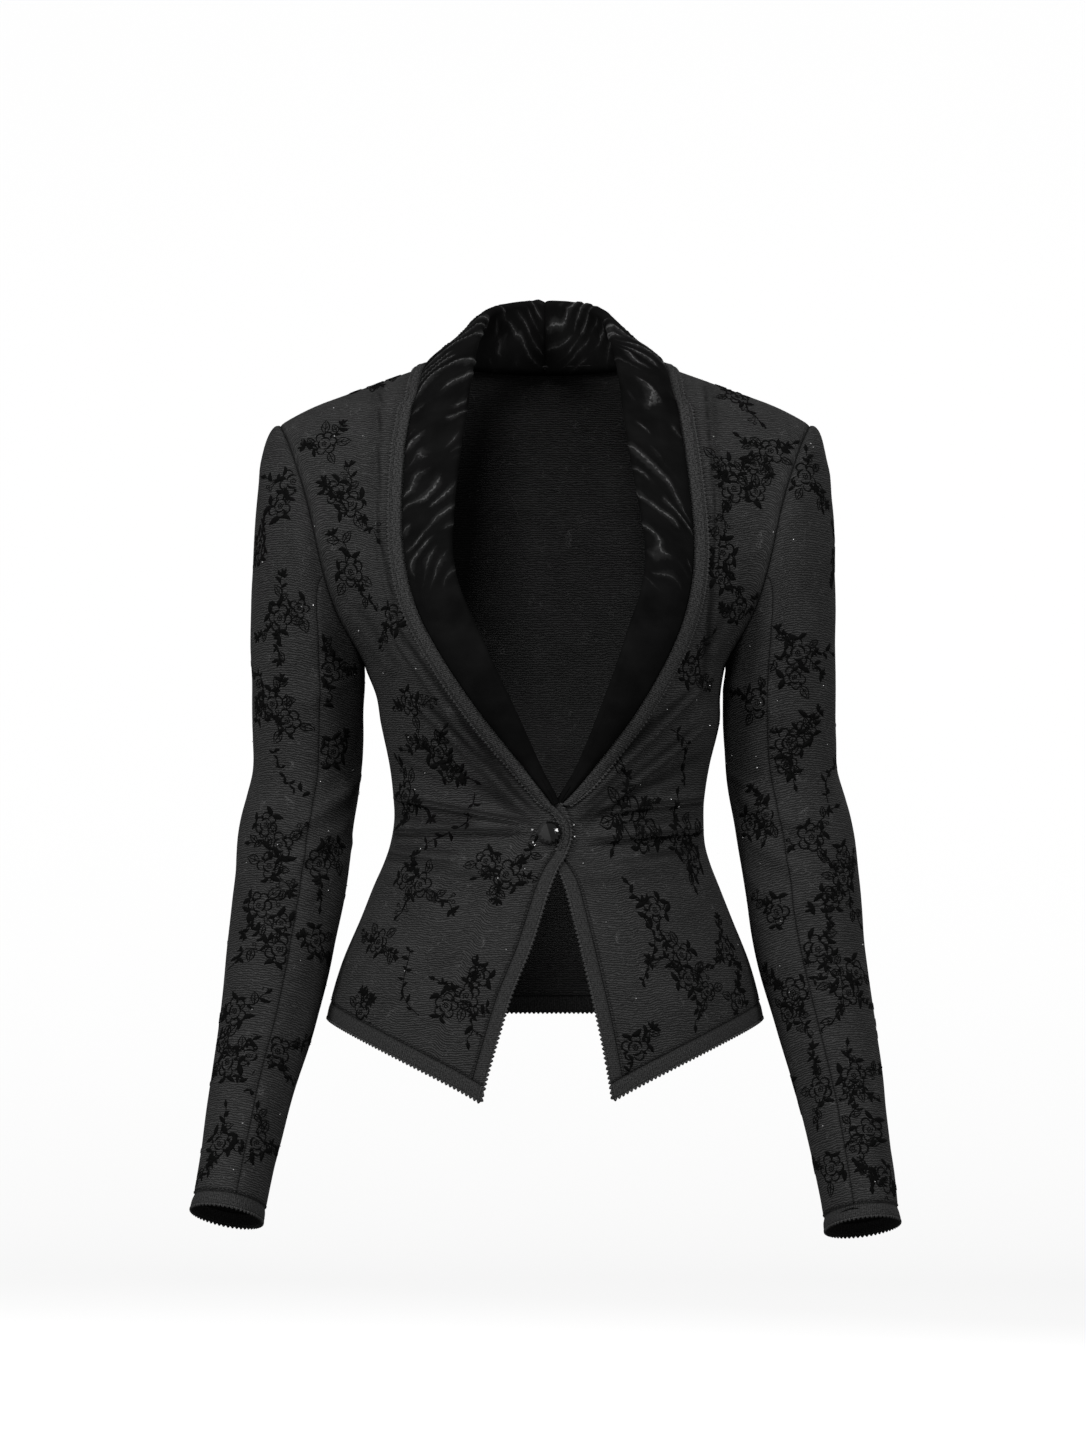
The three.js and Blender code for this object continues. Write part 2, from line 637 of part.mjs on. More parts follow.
// The back runs from one side seam to the other. Its top edge is the shoulder seams with the
// level neck edge between them.
const backFolds = [
  { name: 'waist tuck right', x1: -112, z1: -352, x2: -26, z2: -348, rise: 2.2, spread: 5 },
  { name: 'waist tuck left', x1: 112, z1: -350, x2: 30, z2: -354, rise: 2, spread: 5 },
  { name: 'low tuck', x1: -60, z1: -376, x2: 48, z2: -373, rise: 1.8, spread: 6 },
  { name: 'blade fold right', x1: -128, z1: -196, x2: -70, z2: -262, rise: 2.2, spread: 8 },
  { name: 'blade fold left', x1: 126, z1: -190, x2: 76, z2: -270, rise: 2, spread: 8 },
];

function backSurface(across, level) {
  const side = across < 0 ? -1 : 1;
  const share = Math.abs(across);
  const lower = level <= underarmZ;
  const point = lower ? bodyPoint(1, 1, across, level) : bodyPoint(side, 1, share, level);
  const normal = lower ? bodyNormal(1, 1, across, level) : bodyNormal(side, 1, share, level);
  let lift = 0;
  for (const fold of backFolds) lift += foldHeight(fold, point.x, point.z);
  return point.addScaledVector(normal, lift * smooth(1, 0.93, share));
}

// Level of the row that passes through the neck edge, by share across.
function neckLevel(across) {
  const ridge = ridgeZ(shoulderHalf * Math.abs(across));
  const fall = Math.max(0, (ridge - neckZ) / (ridge - underarmZ));
  return mix(tipZ, underarmZ, fall);
}

const neckShare = neckHalf / shoulderHalf;
const neckColumns = even(10, -1, 1).map((share) => neckShare * Math.sin(share * Math.PI / 2));
const backColumns = [...even(7, -1, -neckShare), ...neckColumns.slice(1, -1), ...even(7, neckShare, 1)];
const backRows = [
  ...chestRows,
  ...even(3, underarmZ, foldTopZ).slice(1).map((level) => ({ level })),
  ...even(8, foldTopZ, foldBottomZ).slice(1).map((level) => ({ level })),
  ...even(5).slice(1).map((share) => ({ level: foldBottomZ, share })),
];

function backPlace(row, across, below = 0) {
  if (row.share !== undefined) {
    return mix(foldBottomZ, backHemZ(across) + hemBandWidth, row.share) - below;
  }
  if (row.level <= underarmZ) return row.level;
  const top = neckLevel(across);
  return mix(top, underarmZ, (tipZ - row.level) / (tipZ - underarmZ));
}

// Below the shoulder the columns close up towards the sides, so that the facets stay even.
function backAcross(column, row) {
  const closed = row.level > underarmZ ? (tipZ - row.level) / (tipZ - underarmZ) : 1;
  return mix(column, Math.sin(column * Math.PI / 2), closed);
}

function backPanel() {
  const points = backRows.map((row) => backColumns.map((column) => {
    const across = backAcross(column, row);
    return backSurface(across, backPlace(row, across));
  }));
  const cells = { points, normals: gridNormals(points, backwards) };
  cells.normals[0] = backColumns.map((column) => {
    const side = Math.sign(column) || 1;
    const share = Math.abs(column);
    if (share >= neckShare) return shoulderDirection(side, share);
    return bodyNormal(side, 1, share, neckLevel(column) - 0.01);
  });
  const last = backColumns.length - 1;
  setSeams(cells, 1, 1, backRows, last);
  const stretch = cells.stretch;
  setSeams(cells, -1, 1, backRows, 0);
  backRows.forEach((_, i) => {
    cells.stretch[i][last] = stretch[i][last];
  });
  return wall('back', clothMaterial, cells, knit, { top: true, bottom: true, start: true, end: true });
}

function backHemBand() {
  const row = { level: foldBottomZ, share: 1 };
  const points = even(2).map((share) => backColumns.map((column) => {
    const across = backAcross(column, row);
    return backSurface(across, backPlace(row, across, share * hemBandWidth));
  }));
  const cells = { points, normals: gridNormals(points, backwards) };
  for (const line of cells.normals) {
    line[0] = new THREE.Vector3(-1, 0, 0);
    line[backColumns.length - 1] = new THREE.Vector3(1, 0, 0);
  }
  return wall('hem_band_back', bandMaterial, cells, knit, { top: true, start: true, end: true });
}

// Each sleeve is cut in an upper and an under piece, joined by a seam at the front of the
// arm and one behind it.
const frontSeamStep = 7;
const backSeamStep = 16;

// Where the cuff starts: its width up from the last ring.
function sleeveEnd(rings) {
  const [above, end] = rings.slice(-2);
  return rings.length - cuffWidth / Math.hypot(end.x - above.x, end.y - above.y, end.z - above.z);
}

function sleeveDowns(side) {
  const end = sleeveEnd(sleeveRows[sideName(side)]);
  const cap = even(6).map((t) => t ** 1.3);
  return [...cap, ...even(14, 1, end).slice(1)];
}

function sleevePiece(side, piece, from, to) {
  const downs = sleeveDowns(side);
  const turns = [];
  for (let step = from; step <= to; step += 1) turns.push(step / sleeveSteps * 2 * Math.PI);
  const points = downs.map((down) => turns.map((turn) => sleevePoint(side, turn % (2 * Math.PI), down)));
  const normals = downs.map((down) => turns.map((turn) => sleeveNormal(side, turn % (2 * Math.PI), down)));
  const cells = { points, normals, stretch: downs.map(() => turns.map(() => 1)) };
  turns.forEach((turn, j) => {
    const { direction, stretch } = armholeDirection(side, turn % (2 * Math.PI));
    normals[0][j] = direction;
    cells.stretch[0][j] = stretch;
  });
  const trim = { top: true, bottom: true, start: true, end: true };
  return wall(`sleeve_${piece}_${sideName(side)}`, clothMaterial, cells, knit, trim);
}

function cuff(side) {
  const rings = sleeveRows[sideName(side)];
  const turns = even(sleeveSteps, 0, 2 * Math.PI).slice(0, -1);
  const downs = even(2, sleeveEnd(rings), rings.length);
  const points = downs.map((down) => turns.map((turn) => sleevePoint(side, turn, down)));
  const normals = downs.map((down) => turns.map((turn) => (
    sleeveNormal(side, turn, Math.min(down, rings.length - 0.02))
  )));
  return wall(`cuff_${sideName(side)}`, bandMaterial, { points, normals }, knit, { top: true }, true);
}

// The collar: at each station a section that starts inside the neck or front edge, turns
// over the roll line and falls to the outer edge of the velvet.
const rollRadius = knit / 2 + layerGap + pile / 2;
const fallShares = [0.3, 0.65, 1];
const collarBulge = 2.4;
const neckAxisY = 15;
const neckTurn = 6;
const neckEase = 1.4;
const collarSteps = 20;

// A smooth read of a table between its rows. Past its last row it is mirrored where mirror
// is -1 or 1, and straight where mirror is 0.
function stationValue(rows, key, at, mirror = 0) {
  const last = rows.length - 1;
  const i = Math.min(last - 1, Math.floor(at));
  const t = at - i;
  const b = rows[i][key];
  const c = rows[i + 1][key];
  const a = i > 0 ? rows[i - 1][key] : 2 * b - c;
  const beyond = mirror === 0 ? 2 * c - b : mirror * b;
  const d = i + 2 <= last ? rows[i + 2][key] : beyond;
  return b + 0.5 * t * (c - a + t * (2 * a - 5 * b + 4 * c - d + t * (3 * (b - c) + d - a)));
}

// Sections on the body: everything lies on the front, moved out or in.
function frontSection(side, at) {
  const rollX = stationValue(collarRows, 'rollX', at);
  const rollZ = stationValue(collarRows, 'rollZ', at);
  const edgeX = stationValue(collarRows, 'edgeX', at);
  const edgeZ = stationValue(collarRows, 'edgeZ', at);
  const reach = Math.hypot(edgeX - rollX, edgeZ - rollZ);
  const outX = (edgeX - rollX) / reach;
  const outZ = (edgeZ - rollZ) / reach;
  const radius = rollRadius + pile / 2;
  const place = (far, lift) => {
    const z = rollZ + outZ * far;
    return frontPoint(side, openingCentre(z) + side * (rollX + outX * far), z, lift);
  };
  const turn = stationValue(collarRows, 'turn', at);
  const section = [place(radius + turn, -knit / 2 - rollRadius)];
  section.push(place(radius + turn / 2, -knit / 2 - rollRadius));
  for (const angle of even(4, 0, Math.PI)) {
    const far = radius - rollRadius * Math.sin(angle);
    section.push(place(far, -knit / 2 - rollRadius * Math.cos(angle)));
  }
  for (const share of fallShares) {
    const bulge = collarBulge * 4 * share * (1 - share) * Math.min(1, reach / 30);
    section.push(place(mix(radius, reach, share), rollRadius - knit / 2 + bulge));
  }
  const band = even(2, seamGap, seamGap + lapelBandWidth);
  section.band = band.map((far) => place(reach + far, rollRadius - knit / 2));
  return section;
}

// Samples of the shoulders and upper back, to keep the collar clear of them.
const bodySamples = [];
for (const side of [-1, 1]) {
  for (const face of [-1, 1]) {
    for (const across of even(40)) {
      for (const turn of even(34, 0.02, Math.PI * 0.6)) {
        const level = mix(tipZ, underarmZ, (1 - Math.cos(turn)) / 2);
        const point = bodyPoint(side, face, across, level);
        if (point.z > neckZ + 1) continue;
        bodySamples.push({ point, normal: bodyNormal(side, face, across, level) });
      }
    }
  }
}

function keepOff(point, lift) {
  let best = bodySamples[0];
  let least = Infinity;
  for (const sample of bodySamples) {
    const far = sample.point.distanceToSquared(point);
    if (far < least) {
      least = far;
      best = sample;
    }
  }
  const stand = point.clone().sub(best.point).dot(best.normal);
  return stand < lift ? point.clone().addScaledVector(best.normal, lift - stand) : point;
}

// Sections round the neck: a stand inside the neck edge, the roll, and the free fall.
function neckSection(side, at) {
  const last = neckRows.length - 1;
  const read = (name, t) => new THREE.Vector3(
    side * stationValue(neckRows, `${name}X`, t, -1),
    stationValue(neckRows, `${name}Y`, t, 1),
    stationValue(neckRows, `${name}Z`, t, 1),
  );
  const roll = read('roll', at);
  const edge = keepOff(read('edge', at), rollRadius - knit / 2);
  const along = read('roll', Math.min(last, at + 0.05)).sub(read('roll', at - 0.05)).normalize();
  if (at === last) along.set(-side, 0, 0);
  const out = edge.clone().sub(roll);
  out.addScaledVector(along, -out.dot(along)).normalize();
  const normal = out.clone().cross(along).normalize().multiplyScalar(side);
  const centre = roll.clone().addScaledVector(out, rollRadius + pile / 2);
  const face = at < 2 ? -1 : 1;
  const below = (x, z, lift) => {
    const place = locate(side, side * x, z);
    const point = bodyPoint(side, face, place.across, place.level);
    return point.addScaledVector(bodyNormal(side, face, place.across, place.level), -lift);
  };
  const neckX = stationValue(neckRows, 'neckX', at, -1);
  const edgeZ = stationValue(neckRows, 'neckZ', at, 1);
  const corner = below(neckX, edgeZ, knit / 2);
  const inwards = new THREE.Vector3(-corner.x, neckAxisY - corner.y, 0).normalize();
  const turnX = neckX + neckTurn * Math.abs(inwards.x);
  const section = [below(turnX, edgeZ - neckTurn * Math.abs(inwards.y), knit / 2 + rollRadius + neckEase)];
  section.push(corner.addScaledVector(inwards, rollRadius));
  for (const angle of even(4, 0, Math.PI)) {
    const point = centre.clone().addScaledVector(normal, -rollRadius * Math.cos(angle));
    section.push(point.addScaledVector(out, -rollRadius * Math.sin(angle)));
  }
  const start = section[section.length - 1];
  for (const share of fallShares) {
    const bulge = 2 * collarBulge * 4 * share * (1 - share);
    const point = start.clone().lerp(edge, share).addScaledVector(normal, bulge);
    section.push(keepOff(point, rollRadius - knit / 2));
  }
  const tail = section[section.length - 1];
  const heading = tail.clone().sub(section[section.length - 2]).normalize();
  section.band = even(2, seamGap, seamGap + lapelBandWidth).map((far) => {
    return keepOff(tail.clone().addScaledVector(heading, far), rollRadius - knit / 2);
  });
  return section;
}

function collarSections(side) {
  const front = even(collarSteps, 0, collarRows.length - 1);
  const neck = even(3 * (neckRows.length - 1), 0, neckRows.length - 1).slice(1);
  return [...front.map((at) => frontSection(side, at)), ...neck.map((at) => neckSection(side, at))];
}

function layers(middle, normals, thick) {
  const shifted = (way) => middle.map((line, i) => line.map((point, j) => {
    return point.clone().addScaledVector(normals[i][j], way * thick / 2);
  }));
  return [shifted(1), shifted(-1)];
}

// The collar and its band share their outward directions where they meet, and both end
// square to the middle of the back.
function collarPieces(side) {
  const sections = collarSections(side);
  const velvet = sections.map((section) => [...section]);
  const ribbed = sections.map((section) => section.band);
  const velvetNormals = gridNormals(velvet, forwards);
  const ribbedNormals = gridNormals(ribbed, forwards);
  const lastColumn = velvet[0].length - 1;
  velvetNormals.forEach((line, i) => {
    const shared = line[lastColumn].clone();
    if (shared.dot(ribbedNormals[i][0]) < 0) shared.negate();
    ribbedNormals[i][0] = shared;
  });
  for (const line of [velvetNormals.at(-1), ribbedNormals.at(-1)]) {
    line.forEach((normal) => normal.setX(0).normalize());
  }
  const make = (name, material, middle, normals, thick) => {
    const [outer, inner] = layers(middle, normals, thick);
    const trim = { bottom: true };
    return wallBetween(`${name}_${sideName(side)}`, material, trimmed(outer, trim), trimmed(inner, trim));
  };
  return [
    make('collar', velvetMaterial, velvet, velvetNormals, pile),
    make('lapel_band', bandMaterial, ribbed, ribbedNormals, knit),
  ];
}

// A domed jet button with a flat back, on the lap of the right front.
function button() {
  const profile = [
    new THREE.Vector2(0, 0),
    new THREE.Vector2(buttonRadius * 0.86, 0),
    new THREE.Vector2(buttonRadius, 1.6),
    new THREE.Vector2(buttonRadius * 0.94, buttonHeight * 0.5),
    new THREE.Vector2(buttonRadius * 0.7, buttonHeight * 0.84),
    new THREE.Vector2(buttonRadius * 0.34, buttonHeight * 0.98),
    new THREE.Vector2(0, buttonHeight),
  ];
  const mesh = new THREE.Mesh(new THREE.LatheGeometry(profile, 16), jetMaterial);
  const { across, level } = locate(-1, buttonX, buttonZ);
  const normal = bodyNormal(-1, -1, across, level);
  mesh.position.copy(frontSurface(-1, across, level, seamGap));
  mesh.quaternion.setFromUnitVectors(new THREE.Vector3(0, 1, 0), normal);
  mesh.name = 'button';
  return mesh;
}

const jacket = new THREE.Group();
for (const side of [-1, 1]) {
  jacket.add(frontPanel(side), frontBand(side), frontHemBand(side));
  jacket.add(sleevePiece(side, 'under', frontSeamStep, backSeamStep));
  jacket.add(sleevePiece(side, 'upper', backSeamStep, sleeveSteps + frontSeamStep));
  jacket.add(cuff(side));
  jacket.add(...collarPieces(side));
}
jacket.add(backPanel(), backHemBand(), button());

export default jacket;
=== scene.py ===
import math

import bpy
import numpy as np
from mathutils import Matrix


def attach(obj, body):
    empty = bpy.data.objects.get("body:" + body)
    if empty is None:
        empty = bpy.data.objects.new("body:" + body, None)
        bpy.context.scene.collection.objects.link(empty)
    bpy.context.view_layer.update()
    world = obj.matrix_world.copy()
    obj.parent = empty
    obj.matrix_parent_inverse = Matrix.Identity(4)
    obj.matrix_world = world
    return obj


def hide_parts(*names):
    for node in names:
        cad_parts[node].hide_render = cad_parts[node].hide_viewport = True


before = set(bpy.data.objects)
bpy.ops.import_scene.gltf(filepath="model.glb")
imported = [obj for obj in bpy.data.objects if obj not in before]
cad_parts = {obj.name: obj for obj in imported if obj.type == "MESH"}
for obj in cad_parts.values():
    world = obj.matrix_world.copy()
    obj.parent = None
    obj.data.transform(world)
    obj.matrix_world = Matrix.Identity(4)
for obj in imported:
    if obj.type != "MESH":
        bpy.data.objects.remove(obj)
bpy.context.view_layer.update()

# Fitted knit jacket: sizes are worked out in millimetres and become metres in addMesh.
# "right" is the wearer's right, on the -X side, and side is -1 there and 1 on the left.

millimetre = 0.001
uvScale = 0.01      # one unit of a piece's "flat" map is 100 mm of cloth


def mix(a, b, t):
    return a + (b - a) * t


# 0 before low, 1 after high, with level ends in between. low may be the larger one.
def smooth(low, high, value):
    t = np.clip((value - low) / (high - low), 0, 1)
    return t * t * (3 - 2 * t)


# Unit vectors along the last axis.
def unit(vectors):
    return vectors / np.maximum(np.linalg.norm(vectors, axis=-1, keepdims=True), 1e-9)


# The cubic Hermite curve from one point to the next, with the tangents that it leaves and
# arrives with.
def hermite(start, leave, stop, arrive, t):
    t2, t3 = t * t, t * t * t
    return ((2 * t3 - 3 * t2 + 1) * start + (t3 - 2 * t2 + t) * leave
            + (3 * t2 - 2 * t3) * stop + (t3 - t2) * arrive)


# A smooth curve through one column of a table, read by another. Its slopes are the
# differences of the two neighbours, and it runs on by a fifth of a row past its ends.
def curve(table, key, name):
    order = np.argsort(table[key])
    at = np.array(table[key], float)[order]
    height = np.array(table[name], float)[order]
    before = np.maximum(np.arange(len(at)) - 1, 0)
    after = np.minimum(np.arange(len(at)) + 1, len(at) - 1)
    slope = (height[after] - height[before]) / (at[after] - at[before])

    def read(x):
        i = np.clip(np.searchsorted(at, x) - 1, 0, len(at) - 2)
        span = at[i + 1] - at[i]
        t = np.clip((x - at[i]) / span, -0.2, 1.2)
        return hermite(height[i], span * slope[i], height[i + 1], span * slope[i + 1], t)
    return read


# The Catmull-Rom cubic from b to c, with a before and d after them.
def passing(a, b, c, d, t):
    return b + 0.5 * t * (c - a + t * (2 * a - 5 * b + 4 * c - d + t * (3 * (b - c) + d - a)))


# A Catmull-Rom read of a table column between its rows. end is -1 or 1 where the table is
# mirrored past its last row, and 0 where it runs straight on.
def stationValue(table, name, at, end=0):
    rows = np.array(table[name], float)
    last = len(rows) - 1
    i = np.clip(np.floor(at).astype(int), 0, last - 1)
    t = at - i
    b, c = rows[i], rows[i + 1]
    a = np.where(i > 0, rows[np.maximum(i - 1, 0)], 2 * b - c)
    beyond = 2 * c - b if end == 0 else end * b
    d = np.where(i + 2 <= last, rows[np.minimum(i + 2, last)], beyond)
    return passing(a, b, c, d, t)


# Smooth noise from 0 to 1: random heights on a lattice, eased between its four corners.
def softNoise(x, y, seed):
    lattice = np.random.default_rng(seed).random((64, 64))
    i, j = np.floor(x).astype(int), np.floor(y).astype(int)
    s, t = x - i, y - j
    s, t = s * s * (3 - 2 * s), t * t * (3 - 2 * t)
    low = mix(lattice[i % 64, j % 64], lattice[(i + 1) % 64, j % 64], s)
    high = mix(lattice[i % 64, (j + 1) % 64], lattice[(i + 1) % 64, (j + 1) % 64], s)
    return mix(low, high, t)


# A socket that adds Math nodes when it is used in an expression.
class Wire:
    def __init__(self, paint, socket):
        self.paint, self.socket = paint, socket

    def other(self, name):
        return Wire(self.paint, self.socket.node.outputs[name])

    def math(self, operation, first, second=None):
        inputs = {0: first} if second is None else {0: first, 1: second}
        return self.paint.node("ShaderNodeMath", {"operation": operation}, inputs)

    def __add__(self, value):
        return self.math("ADD", self, value)

    def __radd__(self, value):
        return self.math("ADD", value, self)

    def __sub__(self, value):
        return self.math("SUBTRACT", self, value)

    def __rsub__(self, value):
        return self.math("SUBTRACT", value, self)

    def __mul__(self, value):
        return self.math("MULTIPLY", self, value)

    def __rmul__(self, value):
        return self.math("MULTIPLY", value, self)

    def __truediv__(self, value):
        return self.math("DIVIDE", self, value)

    def __rtruediv__(self, value):
        return self.math("DIVIDE", value, self)

    def sine(self):
        return self.math("SINE", self)

    def size(self):
        return self.math("ABSOLUTE", self)

    # 0 below low and 1 above high.
    def between(self, low, high):
        settings = {"interpolation_type": "SMOOTHSTEP"}
        inputs = {"Value": self, "From Min": low, "From Max": high}
        return self.paint.node("ShaderNodeMapRange", settings, inputs)


class Paint:
    def __init__(self, name):
        self.material = bpy.data.materials.new(name)
        self.material.use_nodes = True
        self.tree = self.material.node_tree
        self.tree.nodes.clear()
        self.shader = self.tree.nodes.new("ShaderNodeBsdfPrincipled")
        output = self.tree.nodes.new("ShaderNodeOutputMaterial")
        self.tree.links.new(self.shader.outputs[0], output.inputs["Surface"])

    def feed(self, socket, value):
        if isinstance(value, Wire):
            self.tree.links.new(value.socket, socket)
        else:
            socket.default_value = value

    # Any node: its type, its settings, what its sockets get, and the output that is wanted.
    def node(self, kind, settings=None, inputs=None, out=0):
        made = self.tree.nodes.new(kind)
        for key, value in (settings or {}).items():
            setattr(made, key, value)
        for key, value in (inputs or {}).items():
            self.feed(made.inputs[key], value)
        return Wire(self, made.outputs[out])

    def surface(self, **values):
        for key, value in values.items():
            self.feed(self.shader.inputs[key.replace("_", " ")], value)
        return self.material

    def colours(self, factor, first, second):
        return self.node("ShaderNodeMix", {"data_type": "RGBA"}, {0: factor, 6: first, 7: second}, 2)

    def field(self, name):
        return self.node("ShaderNodeAttribute", {"attribute_name": name}, None, "Fac")

    def place(self):
        return self.node("ShaderNodeTexCoord", None, None, "Object")

    def axes(self, vector):
        parts = self.node("ShaderNodeSeparateXYZ", None, {0: vector})
        return [parts.other(name) for name in "XYZ"]

    def vectors(self, operation, first, second):
        return self.node("ShaderNodeVectorMath", {"operation": operation}, {0: first, 1: second})

    # The piece's flat map in millimetres, stretched by two factors.
    def flat(self, across=1.0, down=1.0):
        uv = self.node("ShaderNodeUVMap", {"uv_map": "flat"})
        return self.vectors("MULTIPLY", uv, (across / uvScale, down / uvScale, 1))

    def noise(self, vector, scale, detail=2.0, roughness=0.5):
        inputs = {"Vector": vector, "Scale": scale, "Detail": detail, "Roughness": roughness}
        return self.node("ShaderNodeTexNoise", None, inputs)

    def bump(self, height, strength, distance):
        inputs = {"Height": height, "Strength": strength, "Distance": distance}
        return self.node("ShaderNodeBump", None, inputs)


def grey(value, warm=0.0):
    return (value * (1 + warm), value, value * (1 - warm), 1)


shadeDepth = 0.85   # how far the painted shade under folds and at seams goes towards the painted shade colour
knitLook = {
    "dark": 0.0075, "light": 0.035,       # valleys and crests of the crepe rows
    "pitch": 1.85, "column": 1.9,         # mm from row to row, and across a row
    "creaseHighlight": 0.085, "hairline": 0.02,   # painted highlight on fine creases: colour, and width as a share of a cell
    "paintedShade": 0.0045,                     # painted shade in the grooves under the folds and along seams
    "bump": 0.0007,                       # m, height of the rows
}


# Crepe rows: a sine down the cloth whose phase is pushed about by two noises, so that the
# rows waver and break up. Pale hairlines, a painted highlight on fine raised creases, follow
# the borders of large uneven cells.
def knitPaint():
    paint = Paint("charcoalCrepeKnit")
    cloth = paint.flat()
    across, down = paint.axes(cloth)[:2]
    waver = paint.noise(paint.flat(0.16, 0.3), 1.0, 2.0)
    broken = paint.noise(paint.flat(0.5, 0.22), 1.0, 1.0)
    phase = (down / knitLook["pitch"] + waver * 1.6 + broken * 0.9) * (2 * math.pi)
    rows = phase.sine() * 0.5 + 0.5
    columns = ((across / knitLook["column"] + waver * 0.8) * (2 * math.pi)).sine() * 0.5 + 0.5
    grain = rows * 0.8 + columns * rows * 0.2
    mottle = paint.noise(paint.flat(0.03, 0.04), 1.0, 3.0)
    speckle = paint.noise(cloth, 0.9, 1.0)
    wander = paint.noise(paint.flat(0.12, 0.12), 1.0).other("Color")
    wander = paint.vectors("MULTIPLY", wander, (1.1, 1.1, 0))
    wander = paint.vectors("ADD", paint.flat(0.05, 0.036), wander)
    inputs = {"Vector": wander, "Scale": 1.0, "Randomness": 1.0}
    cells = paint.node("ShaderNodeTexVoronoi", {"feature": "DISTANCE_TO_EDGE"}, inputs)
    patchy = paint.noise(paint.flat(0.09, 0.07), 1.0, 2.0).between(0.5, 0.64)
    hairline = (1 - cells.between(0.0, knitLook["hairline"])) * patchy * speckle.between(0.3, 0.6)
    base = paint.colours(grain * 0.85 + mottle * 0.35 - 0.1, grey(knitLook["dark"]), grey(knitLook["light"]))
    # Painted highlight: the hairlines lighten the knit along fine creases.
    colour = paint.colours(hairline * 0.55, base, grey(knitLook["creaseHighlight"]))
    # Painted shade: the "shade" attribute darkens the knit towards the painted shade colour under folds and
    # along seams.
    colour = paint.colours(paint.field("shade") * shadeDepth, colour, grey(knitLook["paintedShade"]))
    height = grain * 0.7 + hairline * 0.5 + speckle * 0.3
    return paint.surface(
        Base_Color=colour, Roughness=0.96 - rows * 0.1, Normal=paint.bump(height, 0.9, knitLook["bump"]),
        Specular_IOR_Level=0.02, Sheen_Weight=0.006, Sheen_Roughness=0.5)


# The flock's colours, and in mm how far a stroke rises and sinks and how wide its bevel is.
# weight is the share of a stroke's width that is drawn.
flockLook = {"dark": 0.0012, "light": 0.0045, "rise": 0.45, "sunk": 0.35, "bevel": 0.3, "weight": 0.84}
pileBump = 0.0003   # m, height of the pile of flock and velvet


# Flocked motifs: short black pile, a very fine grain in colour and height.
def flockPaint():
    paint = Paint("blackFlock")
    place = paint.place()
    pile = paint.noise(place, 2600.0, 2.0)
    worn = paint.noise(place, 90.0, 2.0)
    colour = paint.colours(pile * 0.6 + worn * 0.4, grey(flockLook["dark"]), grey(flockLook["light"]))
    return paint.surface(
        Base_Color=colour, Roughness=0.95 - worn * 0.1, Normal=paint.bump(pile, 0.5, pileBump),
        Specular_IOR_Level=0.01, Sheen_Weight=0.002, Sheen_Roughness=0.6)


# Pitches of the ribs and their stitches in mm, colours with the painted shade along seams, and the height of
# a rib in metres.
ribLook = {"pitch": 1.7, "stitch": 1.3, "dark": 0.008, "light": 0.037, "paintedShade": 0.0045, "bump": 0.0006}


# Ribs across a band: a sine along it, each rib broken into stitches by a second sine.
def ribPaint(name="fineRib", lift=1.0, crisp=0.2):
    paint = Paint(name)
    cloth = paint.flat()
    along, across = paint.axes(cloth)[:2]
    waver = paint.noise(paint.flat(0.2, 0.2), 1.0, 2.0)
    rib = (along / ribLook["pitch"] + waver * 0.5) * (2 * math.pi)
    stitch = (across / ribLook["stitch"] + waver * 0.4) * (2 * math.pi)
    height = (rib.sine() * 0.5 + 0.5) * (stitch.sine() * 0.3 + 0.7)
    speckle = paint.noise(cloth, 0.75, 2.0).between(0.5 - crisp, 0.5 + crisp)
    blend = height * 0.45 + speckle * 0.55
    colour = paint.colours(blend, grey(ribLook["dark"] * lift), grey(ribLook["light"] * lift))
    # Painted shade: the "shade" attribute darkens the ribs along seams.
    colour = paint.colours(paint.field("shade") * shadeDepth, colour, grey(ribLook["paintedShade"]))
    return paint.surface(
        Base_Color=colour, Roughness=0.95 - height * 0.1, Normal=paint.bump(height, 0.6, ribLook["bump"]),
        Specular_IOR_Level=0.02, Sheen_Weight=0.006, Sheen_Roughness=0.5)


velvetLook = {
    "line": 0.045,        # half width of a painted sheen line, as a share of the way to the next
    # the velvet's own dark and light tones, and the colour of its painted sheen
    "dark": 0.0012, "light": 0.006, "streakSheen": 0.06,
}


# Crushed velvet: nearly black, with a painted sheen that makes it paler along streaks where the
# pile is pressed flat. The piece's "crush" attribute counts the streaks and "press" says how
# strongly they show.
def velvetPaint():
    paint = Paint("crushedBlackVelvet")
    count = paint.field("crush")
    press = paint.field("press")
    cloth = paint.flat()
    pile = paint.noise(cloth, 2.4, 2.0)
    ragged = paint.noise(paint.flat(0.3, 0.3), 1.0, 3.0)
    clouds = paint.noise(paint.flat(0.04, 0.05), 1.0, 3.0)
    frayed = paint.noise(paint.flat(0.9, 0.9), 1.0, 2.0)
    turn = paint.node(
        "ShaderNodeMath", {"operation": "FRACT"}, {0: count + (ragged - 0.5) * 0.3 + (frayed - 0.5) * 0.08})
    gap = (turn - 0.5).size()
    # Painted sheen: a bright line on each pressed crest and a soft painted glow round it.
    crest = (1 - gap.between(0.0, velvetLook["line"] * 1.7)) * press * frayed.between(0.25, 0.55)
    sheenHalo = (1 - gap.between(0.0, 0.34)) * press * 0.16
    base = paint.colours(clouds, grey(velvetLook["dark"]), grey(velvetLook["light"]))
    colour = paint.colours(crest * ragged.between(0.3, 0.6) + sheenHalo, base, grey(velvetLook["streakSheen"]))
    return paint.surface(
        Base_Color=colour, Roughness=0.8 - crest * 0.25, Normal=paint.bump(pile, 0.2, pileBump),
        Specular_IOR_Level=0.0, Sheen_Weight=0.004, Sheen_Roughness=0.3)


buttonLook = {
    "x": 3.4, "z": -362, "radius": 9.2, "height": 8.0, "sides": 14,
    "dome": ((0.93, 0.46), (0.72, 0.78), (0.42, 0.95)),   # shares of the radius and of the height
    "slant": 0.3,                                         # of the edge between its half with a painted reflection and its plain black half
}
